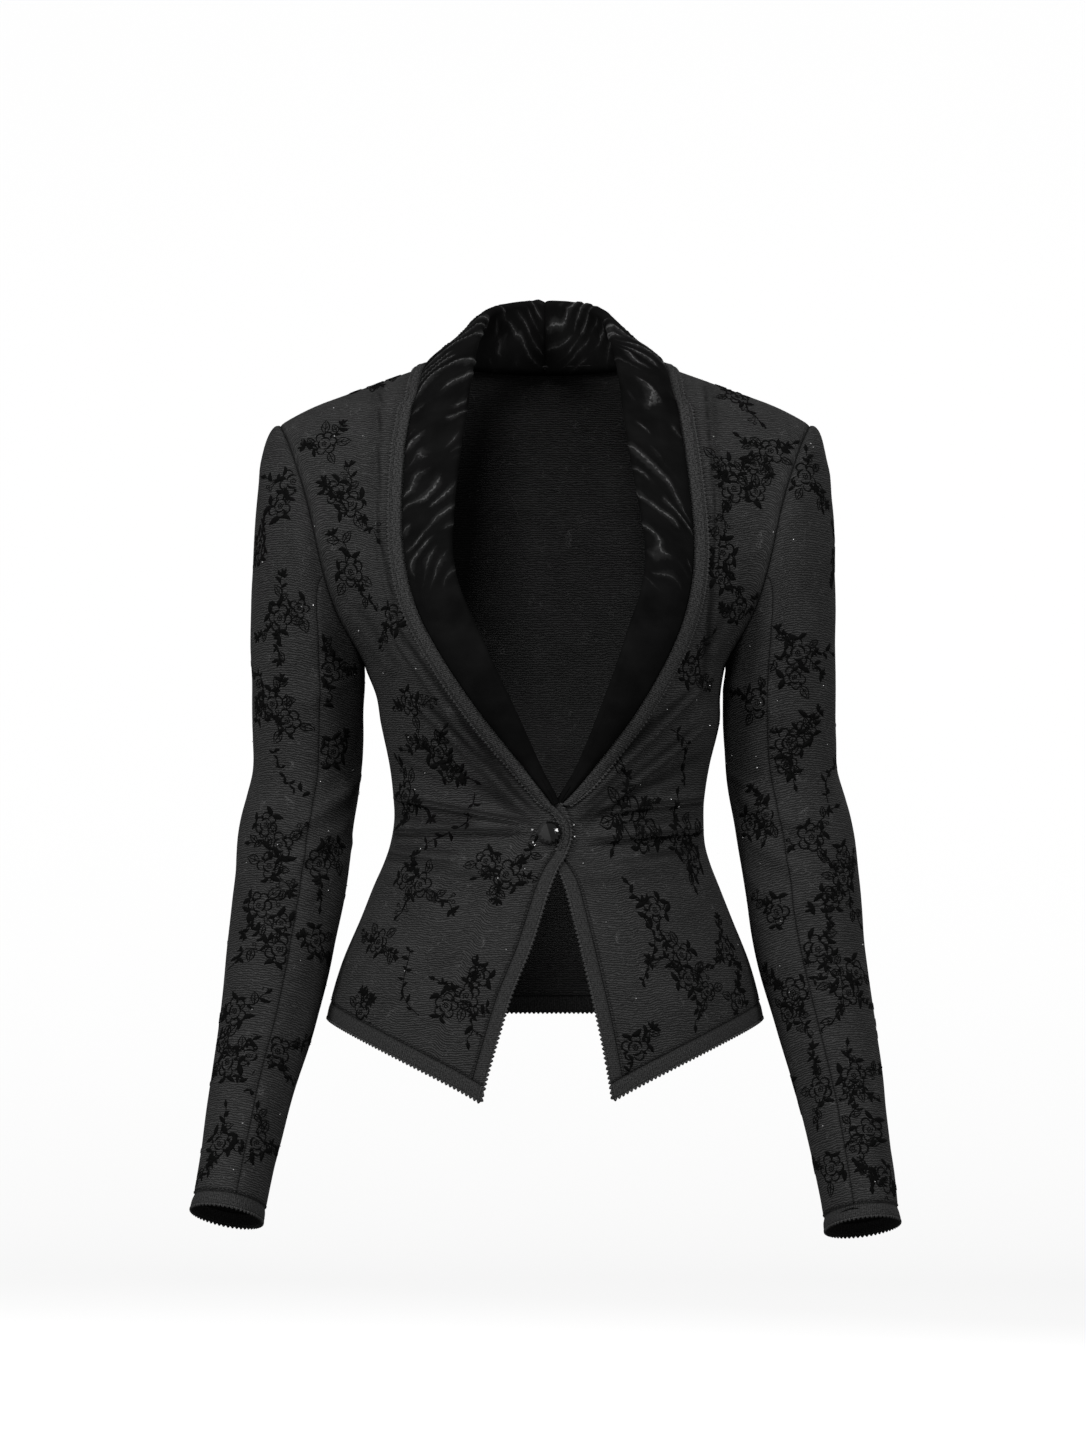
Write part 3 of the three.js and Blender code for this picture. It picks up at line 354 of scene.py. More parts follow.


# Jet: polished, grey with a painted reflection on one side of a slanted edge and plain black on the other,
# with faint scuffs.
def jetPaint():
    paint = Paint("polishedJet")
    place = paint.place()
    scuffs = paint.noise(place, 420.0, 4.0, 0.6)
    colour = paint.colours(scuffs, grey(0.012), grey(0.022))
    x, z = paint.axes(place)[::2]
    past = x + (z - buttonLook["z"] * millimetre) * buttonLook["slant"]
    past = past - buttonLook["x"] * millimetre
    dark = past.between(-0.0004, 0.0004)   # a sharp edge between the grey half with its painted reflection and the black half
    colour = paint.colours(dark, colour, grey(0.002))
    return paint.surface(
        Base_Color=colour, Roughness=0.05 + scuffs * 0.06, Normal=paint.bump(scuffs, 0.03, 0.0004),
        Specular_IOR_Level=0.55)


def beadPaint():
    paint = Paint("silveredBead")
    place = paint.place()
    clouded = paint.noise(place, 900.0, 2.0)
    colour = paint.colours(clouded, grey(0.55), grey(0.92))
    return paint.surface(Base_Color=colour, Metallic=0.7, Roughness=0.12 + clouded * 0.2)


def stitchPaint():
    paint = Paint("sewingThread")
    place = paint.place()
    twist = paint.noise(place, 2200.0, 2.0)
    colour = paint.colours(twist, grey(0.002), grey(0.007))
    return paint.surface(
        Base_Color=colour, Roughness=0.8 + twist * 0.15, Normal=paint.bump(twist, 0.4, 0.0002))


def backdropPaint():
    paint = Paint("paleBackdrop")
    place = paint.place()
    tone = paint.noise(place, 1.3, 2.0)
    colour = paint.colours(tone, grey(0.93), grey(0.95))
    return paint.surface(Base_Color=colour, Roughness=0.9, Emission_Color=grey(1.0), Emission_Strength=0.6)


knitMaterial = knitPaint()
flockMaterial = flockPaint()
ribMaterial = ribPaint()
picotMaterial = ribPaint("picotLoops", 1.25)
lapelMaterial = ribPaint("granularRib", 1.1, 0.07)
velvetMaterial = velvetPaint()
jetMaterial = jetPaint()
beadMaterial = beadPaint()
threadMaterial = stitchPaint()
backdropMaterial = backdropPaint()
print("materials made")


# Six times the volume inside quads, which is negative where they face inwards.
def sixVolumes(points, quads):
    a, b, c, d = (points[quads[:, k]] for k in range(4))
    one = np.einsum("ij,ij->i", a, np.cross(b, c))
    two = np.einsum("ij,ij->i", a, np.cross(c, d))
    return float(np.sum(one + two))


def placeObject(name, data):
    made = bpy.data.objects.new(name, data)
    bpy.context.scene.collection.objects.link(made)
    return made


# Puts points in millimetres and quads into a new object. maps has a pair for each corner.
def addMesh(name, points, quads, material, maps=None, values=None):
    points = np.asarray(points, float).reshape(-1, 3)
    if sixVolumes(points, quads) < 0:
        quads = quads[:, ::-1]
        maps = None if maps is None else maps[:, ::-1]
    mesh = bpy.data.meshes.new(name)
    mesh.from_pydata((points * millimetre).tolist(), [], quads.tolist())
    mesh.polygons.foreach_set("use_smooth", np.ones(len(mesh.polygons), bool))
    if maps is not None:
        layer = mesh.uv_layers.new(name="flat")
        layer.data.foreach_set("uv", (maps * uvScale).astype(np.float32).ravel())
    for key, value in (values or {}).items():
        field = mesh.attributes.new(key, "FLOAT", "POINT")
        field.data.foreach_set("value", np.asarray(value, np.float32).ravel())
    mesh.materials.append(material)
    mesh.update()
    made = placeObject(name, mesh)
    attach(made, "root")
    return made


# Quads between the rings of a tube, whose points are counted ring by ring.
def ringQuads(rings, sides):
    i, j = np.meshgrid(np.arange(rings - 1), np.arange(sides), indexing="ij")
    i, j = i.ravel() * sides, j.ravel()
    k = (j + 1) % sides
    return np.stack([i + j, i + sides + j, i + sides + k, i + k], 1)


# The columns of values read at other places along a line.
def readAlong(at, known, values):
    return np.stack([np.interp(at, known, values[:, k]) for k in range(values.shape[1])], -1)


# The corners of a wall of two layers, as layer, row and column: both layers and the rim
# between them. A ring has no rim at its first and last column, which meet.
def wallCorners(rows, columns, ring):
    def quads(i, j, corners):
        i, j = np.broadcast_arrays(i, j)
        i, j = i.ravel(), j.ravel()
        return np.stack([np.stack([i * 0 + a, i + b, j + c], -1) for a, b, c in corners], 1)

    i = np.arange(rows - 1)[:, None]
    j = np.arange(columns if ring else columns - 1)[None, :]
    parts = [
        quads(i, j, [(0, 0, 0), (0, 1, 0), (0, 1, 1), (0, 0, 1)]),
        quads(i, j, [(1, 0, 0), (1, 0, 1), (1, 1, 1), (1, 1, 0)]),
        quads(j * 0, j, [(0, 0, 0), (0, 0, 1), (1, 0, 1), (1, 0, 0)]),
        quads(j * 0 + rows - 1, j, [(0, 0, 0), (1, 0, 0), (1, 0, 1), (0, 0, 1)]),
    ]
    if not ring:
        parts.append(quads(i, i * 0, [(0, 0, 0), (1, 0, 0), (1, 1, 0), (0, 1, 0)]))
        parts.append(quads(i, i * 0 + columns - 1, [(0, 0, 0), (0, 1, 0), (1, 1, 0), (1, 0, 0)]))
    return np.concatenate(parts)


# Outward directions of a grid from its own points: the cross product of the steps down and
# across. towards is roughly outwards, and may be a field.
def gridNormals(points, towards, ring=False):
    if ring:
        wrapped = np.concatenate([points[:, -2:-1], points, points[:, 1:2]], 1)
        across = (wrapped[:, 2:] - wrapped[:, :-2])
    else:
        across = np.gradient(points, axis=1)
    normals = unit(np.cross(np.gradient(points, axis=0), across))
    return normals if np.sum(normals * towards) > 0 else -normals


# Distances along the rows and the columns of a grid, from its first column and first row.
def arcs(points):
    down = np.linalg.norm(np.diff(points, axis=0), axis=-1)
    across = np.linalg.norm(np.diff(points, axis=1), axis=-1)
    down = np.concatenate([np.zeros((1, points.shape[1])), np.cumsum(down, 0)])
    across = np.concatenate([np.zeros((points.shape[0], 1)), np.cumsum(across, 1)], 1)
    return down, across


edgeLook = {
    "round": 0.8, "dip": 0.75, "reach": 2.6,   # mm: the edge's rounding, a seam's dip and its half width
    "line": 1.1, "dark": 0.6,                  # half width of the painted shade along a seam in mm, and how dark it is
    "blend": 4.0,                              # mm over which neighbours come to share a direction
}
sewn = ["top", "bottom", "start", "end"]
flatSizes = {}


# A sewn piece of cloth. Its outer layer is the grid moved in by a rounding at every edge and
# by a soft dip at the sewn ones, and its inner layer lies one thickness below. seams gives
# the sewn edges, shared the outward directions that an edge has in common with its neighbour,
# and levelRow the row along which the rows of the knit run level.
def clothPiece(node, points, normals, thick, material, slot, seams, held="hung", rests=(),
               ring=False, shared=None, proud=0.0, fields=None, turned=False, seamGap=0.004, levelRow=0):
    points = points.copy()
    normals = normals.copy()
    down, across = arcs(points)
    far = {"top": down, "bottom": down[-1:] - down, "start": across, "end": across[:, -1:] - across}
    whole = slice(None)
    lines = {"top": (0, whole), "bottom": (-1, whole), "start": (whole, 0), "end": (whole, -1)}
    insides = {"top": (1, whole), "bottom": (-2, whole), "start": (whole, 1), "end": (whole, -2)}
    for edge, directions in (shared or {}).items():
        weight = smooth(edgeLook["blend"], 0.0, far[edge])[..., None]
        field = directions[None, :, :] if edge in ("top", "bottom") else directions[:, None, :]
        normals = mix(normals, field, weight)
    rounding = np.zeros(down.shape)
    dips = np.zeros(down.shape)
    shade = (fields or {}).get("shade", 0) + np.zeros(down.shape)
    for edge in sewn:
        if ring and edge in ("start", "end"):
            continue
        reach = np.clip(1 - far[edge] / edgeLook["round"], 0, 1)
        rounding = np.maximum(rounding, edgeLook["round"] * (1 - np.sqrt(1 - reach ** 2)))
        if edge in seams:
            dips = np.maximum(dips, edgeLook["dip"] * np.exp(-(far[edge] / edgeLook["reach"]) ** 2))
            # Painted shade along a sewn edge, where the seam's dip would lie in shadow.
            shade = np.maximum(shade, edgeLook["dark"] * np.exp(-(far[edge] / edgeLook["line"]) ** 2))
            line = lines[edge]
            points[line] += seamGap * unit(points[insides[edge]] - points[line])
    outer = points + normals * (proud - rounding - dips)[..., None]
    inner = points + normals * (rounding - thick - dips)[..., None]
    columns = points.shape[1] - 1 if ring else points.shape[1]
    corners = wallCorners(points.shape[0], columns, ring)
    layer, row, column = corners[..., 0], corners[..., 1], corners[..., 2]
    quads = (layer * points.shape[0] + row) * columns + column % columns
    middle = points.shape[1] // 2
    flat = np.stack([across - across[:, middle:middle + 1], down - down[levelRow]], -1)
    if turned:
        flat = flat[..., ::-1]
    maps = flat[row, column]
    both = np.stack([outer[:, :columns], inner[:, :columns]])
    fields = {**(fields or {}), "shade": shade}
    values = {key: np.stack([value[:, :columns], value[:, :columns]]) for key, value in fields.items()}
    made = addMesh(f"{node}_cloth", both, quads, material, maps, values)
    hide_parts(node)
    width, length, area = clothSize(points)
    flatSizes[node] = (width, length, area)
    return made


# A knit panel, kept as a patch for the motifs as well.
def knitPiece(node, points, normals, rests, shared, levelRow, fields=None):
    clothPiece(node, points, normals, cut["knit"], knitMaterial, "knit", sewn, rests=rests,
               shared=shared, fields=fields, levelRow=levelRow)
    keepPatch(node, points, normals)


# A ribbed band, which stands a little proud of the knit beside it.
def bandPiece(node, points, normals, seams, rests, **more):
    clothPiece(node, points, normals, cut["knit"], ribMaterial, "ribbed_band", seams, rests=rests,
               proud=bandLook["proud"], **more)


bandLook = {"proud": 0.15, "rows": 7, "columns": 9, "hemColumns": 110}


# The size that the piece was cut to: its widest row, its longest column and its area.
def clothSize(points):
    down, across = arcs(points)
    one = np.cross(points[1:, 1:] - points[:-1, :-1], points[1:, :-1] - points[:-1, 1:])
    area = float(np.sum(np.linalg.norm(one, axis=-1))) / 2
    width = round(float(across[:, -1].max()) * millimetre, 3)
    length = round(float(down[-1].max()) * millimetre, 3)
    return width, length, round(min(area * millimetre ** 2, 0.999 * width * length), 5)


# Steps from 0 to 1 that are close together at both ends, where edges are rounded.
def edgeSteps(count, size):
    near = np.array([0.0, 0.12, 0.4, 0.8, 1.6, 3.0]) / size
    middle = np.linspace(near[-1], 1 - near[-1], count)
    return np.concatenate([near[:-1], middle, 1 - near[-2::-1]])


cut = {
    "knit": 1.8, "pile": 1.8, "seamGap": 0.3, "layerGap": 1.2,
    "shoulderHalf": 208, "tipZ": -43, "underarmZ": -234, "ridgeY": 4, "armholeHalfDepth": 56,
    "neckHalf": 76, "neckZ": 9.5, "shoulderTop": 37, "shoulderSlope": 0.36, "shoulderRound": (170, 5.2),
    "bustDepth": 130, "shoulderBladeDepth": 108,
    "bustBuild": 1.21, "backBuild": 5, "ovalPower": 2.2,
    "foldBottomZ": -398, "tipHemZ": -566, "sideHemZ": -507, "tipOut": 48, "sideOut": 171, "backHemDrop": 3,
    "frontBandWidth": 9.5, "lapelBandWidth": 9.5, "hemBandWidth": 12.5, "cuffWidth": 11,
    "overlapLift": 3.2, "bandTopZ": -336,
}

# The body below the armholes, by height.
bodyTable = {
    "z": [-212, -234, -256, -277, -311, -337, -354, -372, -387, -405, -429, -467, -507, -566],
    "half": [147, 141, 135, 133, 125.5, 122, 121.5, 123.5, 128, 135.5, 145, 160.5, 171, 180],
    "shift": [0, 0, 2.5, 4, 3.5, 3, 3, 2, 1.5, 1, 1, 0.5, 0, 0],
    "front": [130.2, 130, 126.5, 119, 105.5, 99, 99, 102, 106, 110, 116, 122, 128, 132],
    "back": [108.2, 108, 106, 101, 91, 85, 85, 89, 94, 101, 109, 117, 122, 125],
}

# Half width between the armhole seams.
armholeTable = {
    "z": [-43, -58, -78, -100, -124, -148, -171, -189, -206, -219, -234],
    "half": [208, 200.5, 193, 186, 180, 175, 169, 163, 155, 148, 141],
}

# The front opening: its middle line and half its width. Below zero it overlaps.
openingTable = {
    "z": [9.5, 0, -12, -32, -68, -117, -145, -160, -175, -204, -229, -256, -280, -306, -330, -338,
          -348, -364, -380, -387, -402, -427, -450, -485, -519, -549, -566],
    "centre": [0, 0, 0, 0, 0, 1.7, 3, 3.7, 4.4, 6, 7.7, 9, 10, 10.5, 10.2, 9,
               8, 8, 9, 9.5, 9.8, 9, 8, 5, 3.5, 2, 1.5],
    "half": [71, 67.5, 64, 60.5, 65, 72, 74, 73, 69, 58, 47.5, 37, 27.3, 15.5, 3, -2,
             -8, -11, -5, 0, 6.7, 14, 20.7, 32, 41, 48, 51],
}

# How far the knit stops short of that edge.
marginTable = {
    "z": [10, -28, -70, -312, -334, -364, -395, -566],
    "margin": [5, 7, 5, 5, 5, 7, cut["frontBandWidth"], cut["frontBandWidth"]],
}

bodyHalf = curve(bodyTable, "z", "half")
bodyShift = curve(bodyTable, "z", "shift")
bodyFront = curve(bodyTable, "z", "front")
bodyBack = curve(bodyTable, "z", "back")
armholeHalf = curve(armholeTable, "z", "half")
openingCentre = curve(openingTable, "z", "centre")
openingHalf = curve(openingTable, "z", "half")
openingMargin = curve(marginTable, "z", "margin")


# Height of the shoulder seam: a slope out from the neck that rounds over at the armhole.
def ridgeZ(x):
    begin, drop = cut["shoulderRound"]
    over = np.maximum(0, (x - begin) / (cut["shoulderHalf"] - begin))
    return cut["shoulderTop"] - cut["shoulderSlope"] * x - drop * over ** 2


# A point on the outside of the body. across runs from 0 at the middle to 1 at the armhole or
# side seam, and below 0 past the middle; level is the height at that seam. Above the underarm
# each row is a chest curve that rises to the shoulder seam, below it a level oval.
def bodyPoint(side, face, across, level):
    tipZ, underarmZ = cut["tipZ"], cut["underarmZ"]
    across, level = np.broadcast_arrays(across, level)
    q = np.minimum(1, np.abs(across))
    oval = np.sqrt(np.maximum(0, 1 - q ** cut["ovalPower"]))
    lowX = bodyShift(level) + side * bodyHalf(level) * across
    lowY = face * (bodyFront(level) if face < 0 else bodyBack(level)) * oval
    fall = np.clip((tipZ - level) / (tipZ - underarmZ), 0, 1)
    highZ = mix(ridgeZ(cut["shoulderHalf"] * q), underarmZ, fall)
    build = cut["bustBuild"] if face < 0 else cut["backBuild"]
    depth = cut["bustDepth"] if face < 0 else cut["shoulderBladeDepth"]
    chest = depth * np.sqrt(np.maximum(0, 1 - (1 - fall) ** build)) * oval
    armhole = cut["armholeHalfDepth"] * 2 * np.sqrt(np.maximum(0, fall * (1 - fall))) * q
    highY = mix(cut["ridgeY"], 0, fall) + face * np.cbrt(chest ** 3 + armhole ** 3)
    highX = side * armholeHalf(level) * across
    low = level <= underarmZ
    return np.stack([np.where(low, lowX, highX), np.where(low, lowY, highY), np.where(low, level, highZ)], -1)


# The outward direction of the body: the cross product of a short step across and one up.
def bodyNormal(side, face, across, level):
    a = bodyPoint(side, face, across - 0.004, level)
    b = bodyPoint(side, face, np.minimum(1, across + 0.004), level)
    c = bodyPoint(side, face, across, np.minimum(cut["tipZ"], level + 0.5))
    d = bodyPoint(side, face, across, level - 0.5)
    return unit(np.cross(b - a, d - c)) * side * face


# The share across and the level of a point, from its sideways place and its height.
def locate(side, x, z):
    tipZ, underarmZ = cut["tipZ"], cut["underarmZ"]
    x, z = np.broadcast_arrays(np.asarray(x, float), np.asarray(z, float))
    level = z.copy()
    for _ in range(12):
        across = np.minimum(1, side * x / armholeHalf(level))
        ridge = ridgeZ(cut["shoulderHalf"] * np.abs(across))
        fall = np.clip((ridge - z) / (ridge - underarmZ), 0, 1)
        level = mix(tipZ, underarmZ, fall)
    low = z <= underarmZ
    lowAcross = side * (x - bodyShift(z)) / bodyHalf(z)
    return np.where(low, lowAcross, across), np.where(low, z, level)


# A fold is a soft ridge between two points: how far it rises, its half width and, where its
# lower or outer side is steeper, the half width there.
foldColumns = ("x1", "z1", "x2", "z2", "rise", "spread", "steep")


def foldTable(*rows):
    return [dict(zip(foldColumns, row)) for row in rows]


# Folds of the fronts, sideways sizes outwards positive. The first rows are the main tucks and
# pleats, the rest softer creases between them.
frontFolds = {
    -1: foldTable(
        (126, -334, 18, -354, 4.6, 8, 1.5),
        (126, -363, 20, -361, 4.4, 8, 1.5),
        (126, -381, 70, -387, 2.9, 6, 1.5),
        (131, -10, 131, -130, 3.0, 11, 1.5),
        (131, -130, 112, -214, 3.2, 10, 1.6),
        (112, -214, 30, -330, 4.2, 8, 2.8),
        (98, -262, 12, -348, 3.4, 8, 3.0),
        (66, -276, 8, -334, -1.8, 3.2),
        (104, -290, 12, -352, -1.6, 3.4),
        (116, -300, 66, -326, 1.6, 7, 3),
        (112, -322, 58, -336, 1.1, 4),
        (118, -350, 54, -356, -1.2, 3.4),
        (118, -374, 70, -377, -1.4, 3),
        (90, -396, 26, -402, 1.4, 8, 3.4),
        (128, -404, 84, -418, 1.1, 9, 4),
        (150, -190, 118, -238, 1.6, 7, 4),
        (84, -30, 88, -92, 0.9, 6),
    ),
    1: foldTable(
        (126, -338, 44, -346, 4.0, 8, 1.5),
        (126, -361, 36, -369, 4.6, 8, 1.5),
        (127, -10, 134, -120, 3.0, 11, 1.5),
        (134, -120, 128, -205, 3.0, 10, 1.6),
        (118, -252, 26, -342, 4.0, 8, 2.8),
        (118, -284, 30, -354, 3.4, 8, 2.8),
        (82, -276, 24, -336, -1.7, 3.2),
        (120, -304, 28, -354, -1.7, 3.4),
        (136, -170, 126, -250, 2.6, 8, 3.0),
        (110, -322, 62, -334, 1.3, 5, 3),
        (114, -382, 58, -389, 1.6, 7, 3),
        (116, -351, 56, -357, -1.3, 3.2),
        (118, -374, 76, -379, -1.1, 3),
        (98, -262, 62, -300, -0.9, 5),
        (96, -398, 30, -404, 1.2, 8, 3.4),
        (152, -186, 128, -226, 1.5, 7, 4),
        (88, -26, 90, -84, 0.8, 6),
    ),
}


# Height of one fold: a bell across it that fades towards its two ends.
def foldHeight(fold, x, z):
    x1, z1, x2, z2 = (fold[key] for key in foldColumns[:4])
    length = math.hypot(x2 - x1, z2 - z1)
    along = ((x - x1) * (x2 - x1) + (z - z1) * (z2 - z1)) / length ** 2
    off = ((x - x1) * (z2 - z1) - (z - z1) * (x2 - x1)) / length
    fade = smooth(-0.12, 0.1, along) * smooth(1.12, 0.9, along)
    spread = np.where(off > 0, fold["spread"], fold.get("steep", fold["spread"]))
    return fold["rise"] * fade * np.exp(-(off / spread) ** 2)


# The painted shade in the groove beside a fold: its distance and width in half widths, the
# rise of a fold whose groove is fully dark, and how dark a dip is.
grooveLook = {"away": 1.7, "width": 0.9, "full": 3.4, "dip": 0.55}


# How dark the painted shade in the groove under a fold is: a bell beside its steep side,
# or along it if it is a dip.
def foldShade(fold, x, z):
    if fold["rise"] < 0:
        return grooveLook["dip"] * foldHeight({**fold, "rise": 1.0}, x, z)
    if "steep" not in fold:
        return 0 * x
    x1, z1, x2, z2 = (fold[key] for key in foldColumns[:4])
    away = grooveLook["away"] * fold["steep"] / math.hypot(x2 - x1, z2 - z1)
    moved = {"x1": x1 + away * (z2 - z1), "z1": z1 - away * (x2 - x1),
             "x2": x2 + away * (z2 - z1), "z2": z2 - away * (x2 - x1),
             "rise": min(1.0, fold["rise"] / grooveLook["full"]),
             "spread": grooveLook["width"] * fold["steep"]}
    return foldHeight(moved, x, z)


# Where the right front laps over the left: it fades in across, and at its top and its foot.
lapLook = {"across": (-34, -10), "top": (-308, -330), "foot": (-440, -400)}
uneven = {"front": 0.9, "back": 1.1, "sleeve": 1.5}   # mm of slow unevenness


# How far a front stands off the body: its folds, a slow unevenness, and the lap.
def frontLift(side, across, level, x, z):
    lift = sum(foldHeight(fold, side * x, z) for fold in frontFolds[side])
    lift = lift + uneven["front"] * (softNoise(x / 34 + 7, z / 26 + 40, 5 + side) - 0.5)
    lift = lift * smooth(1, 0.955, across) * smooth(cut["tipZ"], cut["tipZ"] - 3, level)
    if side < 0:
        lap = smooth(*lapLook["across"], x) * smooth(*lapLook["top"], z) * smooth(*lapLook["foot"], z)
        lift = lift + cut["overlapLift"] * lap
    return lift


def frontSurface(side, across, level, lift=0.0):
    points = bodyPoint(side, -1, across, level)
    stand = frontLift(side, across, level, points[..., 0], points[..., 2]) + lift
    return points + bodyNormal(side, -1, across, level) * stand[..., None]


# The hem of a front rises from its tip to the side seam, a little faster at first.
def frontHemZ(out):
    share = np.maximum(0, (out - cut["tipOut"]) / (cut["sideOut"] - cut["tipOut"]))
    return mix(cut["tipHemZ"], cut["sideHemZ"], share ** 0.9)


def locateAcross(side, x, level):
    low = side * (x - bodyShift(level)) / bodyHalf(level)
    return np.where(level > cut["underarmZ"], np.minimum(0.98, side * x / armholeHalf(level)), low)


# Where a front's grid has its points. place is -1 at the edge of the front band, 0 where the
# knit starts and 1 at the armhole or side seam. share is the way from the tucks to the hem
# band, or -1 above, and below goes on down the hem band.
def frontPlace(side, rows, place):
    place = np.broadcast_to(place, rows["level"].shape[:1] + place.shape[-1:])
    start = rows["level"][:, None] + 0 * place
    share, below = rows["share"][:, None], rows["below"][:, None]
    across, level = 0.4 + 0 * place, start
    for _ in range(16):
        here = bodyPoint(side, -1, across, level)
        x, z = here[..., 0], here[..., 2]
        edge = openingCentre(z) + side * (openingHalf(z) + openingMargin(z) * np.minimum(1, 1 + place))
        turn = mix(np.arcsin(locateAcross(side, edge, level)), np.pi / 2, np.maximum(0, place))
        across = np.sin(turn)
        hem = frontHemZ(side * x) + cut["hemBandWidth"]
        level = np.where(share >= 0, mix(cut["foldBottomZ"], hem, share) - below, start)
    return across, level


def rowsOf(level, share=None, below=None):
    level = np.asarray(level, float)
    return {
        "level": level,
        "share": np.full(level.shape, -1.0) if share is None else np.asarray(share, float),
        "below": np.zeros(level.shape) if below is None else np.asarray(below, float),
    }


def joinedRows(*groups):
    return {key: np.concatenate([group[key] for group in groups]) for key in groups[0]}


# Rows and columns of the panels. Along levelRow the rows of the knit run level.
panelLook = {
    "chest": 50, "waist": 104, "skirt": 34, "levelRow": 93, "across": 68, "backAcross": 88, "hemAcross": 230,
}
frontSpan, backSpan, skirtSpan = 150.0, 360.0, 150.0   # mm, about how wide or long these are


# Rows from the shoulder to the hem band. Over the chest they are spread by a cosine, because
# the armhole is round at its top and bottom.
def panelRows():
    turn = np.concatenate([[0, 0.012, 0.03], np.linspace(0.06, 1, panelLook["chest"])]) * np.pi
    chest = mix(cut["tipZ"], cut["underarmZ"], (1 - np.cos(turn)) / 2)
    waist = np.linspace(cut["underarmZ"], cut["foldBottomZ"], panelLook["waist"])[1:]
    skirt = np.linspace(0, 1, panelLook["skirt"])[1:]
    skirt = np.concatenate([skirt[:-1], 1 - np.array([2.4, 1.2, 0.6, 0.3, 0.1, 0]) / skirtSpan])
    return joinedRows(
        rowsOf(chest), rowsOf(waist), rowsOf(np.full(skirt.shape, float(cut["foldBottomZ"])), skirt))


sideName = {-1: "right", 1: "left"}
bodyAxis = np.array([0.0, 10.0, 0.0])


def outFromAxis(points):
    return (points - bodyAxis) * np.array([1, 1, 0])


# Rings of the sleeves below the armhole: middle, half width across, half depth.
sleeveTables = {
    -1: {
        "x": [-186, -186.5, -188, -195, -200, -207, -216, -227, -234, -242.5, -245],
        "y": [4, 6, 7, 4, -2, -11, -24, -38, -50, -66, -70.5],
        "z": [-252, -290, -322, -360, -402, -450, -505, -556, -594, -642, -655],
        "across": [44.5, 43.5, 43, 44.5, 44, 41.5, 37.5, 32.5, 30, 28.5, 28.8],
        "deep": [53, 51, 50, 49, 46.5, 43, 39.5, 37, 35.5, 34.5, 34.5],
    },
    1: {
        "x": [184, 184.5, 187, 195, 201.5, 207, 218, 228.5, 235.5, 243, 244.5],
        "y": [4, 6, 7, 4, -2, -11, -24, -38, -50, -66, -70.5],
        "z": [-252, -290, -322, -360, -402, -450, -505, -556, -596, -650, -663],
        "across": [44.5, 44.5, 43.5, 45.5, 45, 43, 39, 34.5, 31.5, 29.2, 29.8],
        "deep": [53, 51, 50, 49, 46.5, 43, 39.5, 37, 35.5, 34.5, 34.5],
    },
}
lastRing = 11
sleeveLook = {
    "capLeave": (8, 70), "capArrive": (10, 200),   # tangents under the arm and on the shoulder
    "frontSeam": 7 / 24, "backSeam": 16 / 24,      # share of a turn from the top, over the front
    "upper": 60, "under": 33, "rows": 140, "capRows": 44,
    "cuffSides": 121, "cuffPast": 0.1,             # columns, and how many rings past the last it ends
    "creases": 1.45, "girth": 270.0,               # mm round for a whole turn of the creases
}

# Creases of the sleeves. Their sideways places are shares of a turn.
sleeveFolds = {
    -1: foldTable(
        (0.40, -330, 0.24, -362, 1.9, 6),
        (0.44, -352, 0.27, -386, 1.6, 6),
        (0.47, -318, 0.34, -338, 1.3, 5),
        (0.46, -380, 0.30, -412, 1.2, 7),
        (0.05, -70, 0.14, -150, 1.3, 8),
        (0.22, -130, 0.30, -214, 1.6, 7),
        (0.40, -238, 0.24, -262, 1.4, 8),
        (0.56, -344, 0.72, -366, 1.7, 6),
        (0.54, -370, 0.70, -396, 1.4, 7),
        (0.60, -250, 0.76, -276, 1.3, 8),
        (0.14, -452, 0.36, -470, 1.1, 8),
        (0.12, -560, 0.34, -584, 0.9, 7),
        (0.62, -520, 0.84, -548, 1.0, 8),
        (0.92, -120, 0.84, -210, 1.2, 9),
    ),
    1: foldTable(
        (0.41, -334, 0.24, -358, 1.8, 6),
        (0.44, -358, 0.26, -392, 1.7, 6),
        (0.47, -314, 0.33, -330, 1.2, 5),
        (0.45, -392, 0.28, -424, 1.1, 7),
        (0.04, -76, 0.12, -156, 1.4, 8),
        (0.24, -120, 0.29, -206, 1.5, 7),
        (0.42, -244, 0.26, -272, 1.3, 8),
        (0.56, -340, 0.73, -358, 1.6, 6),
        (0.55, -376, 0.69, -398, 1.5, 7),
        (0.61, -256, 0.77, -286, 1.2, 8),
        (0.10, -470, 0.32, -492, 1.0, 8),
        (0.14, -572, 0.38, -590, 0.9, 7),
        (0.60, -512, 0.82, -536, 1.1, 8),
        (0.93, -112, 0.86, -200, 1.1, 9),
    ),
}


# A point of a ring: an ellipse square to the sleeve's middle line.
def sleeveRing(side, turn, ring):
    table = sleeveTables[side]
    turn, ring = np.broadcast_arrays(turn, ring)

    def centre(at):
        return np.stack([stationValue(table, key, at) for key in ("x", "y", "z")], -1)

    along = unit(centre(ring + 0.01) - centre(ring - 0.01))
    sideways = np.zeros(along.shape)
    sideways[..., 0] = side
    sideways = unit(sideways - along * along[..., :1] * side)
    forward = unit(np.cross(sideways, along))
    forward = np.where(forward[..., 1:2] > 0, -forward, forward)
    across = stationValue(table, "across", ring) * np.cos(turn)
    deep = stationValue(table, "deep", ring) * np.sin(turn)
    return centre(ring) + sideways * across[..., None] + forward * deep[..., None]


def armholeLevel(turn):
    return mix(cut["tipZ"], cut["underarmZ"], (1 - np.cos(turn)) / 2)


# The front's values for the first half turn round the armhole, then the back's.
def roundArmhole(read, side, turn):
    front, back = (read(side, face, 1.0, armholeLevel(turn)) for face in (-1, 1))
    return np.where((np.mod(turn, 2 * np.pi) <= np.pi)[..., None], front, back)


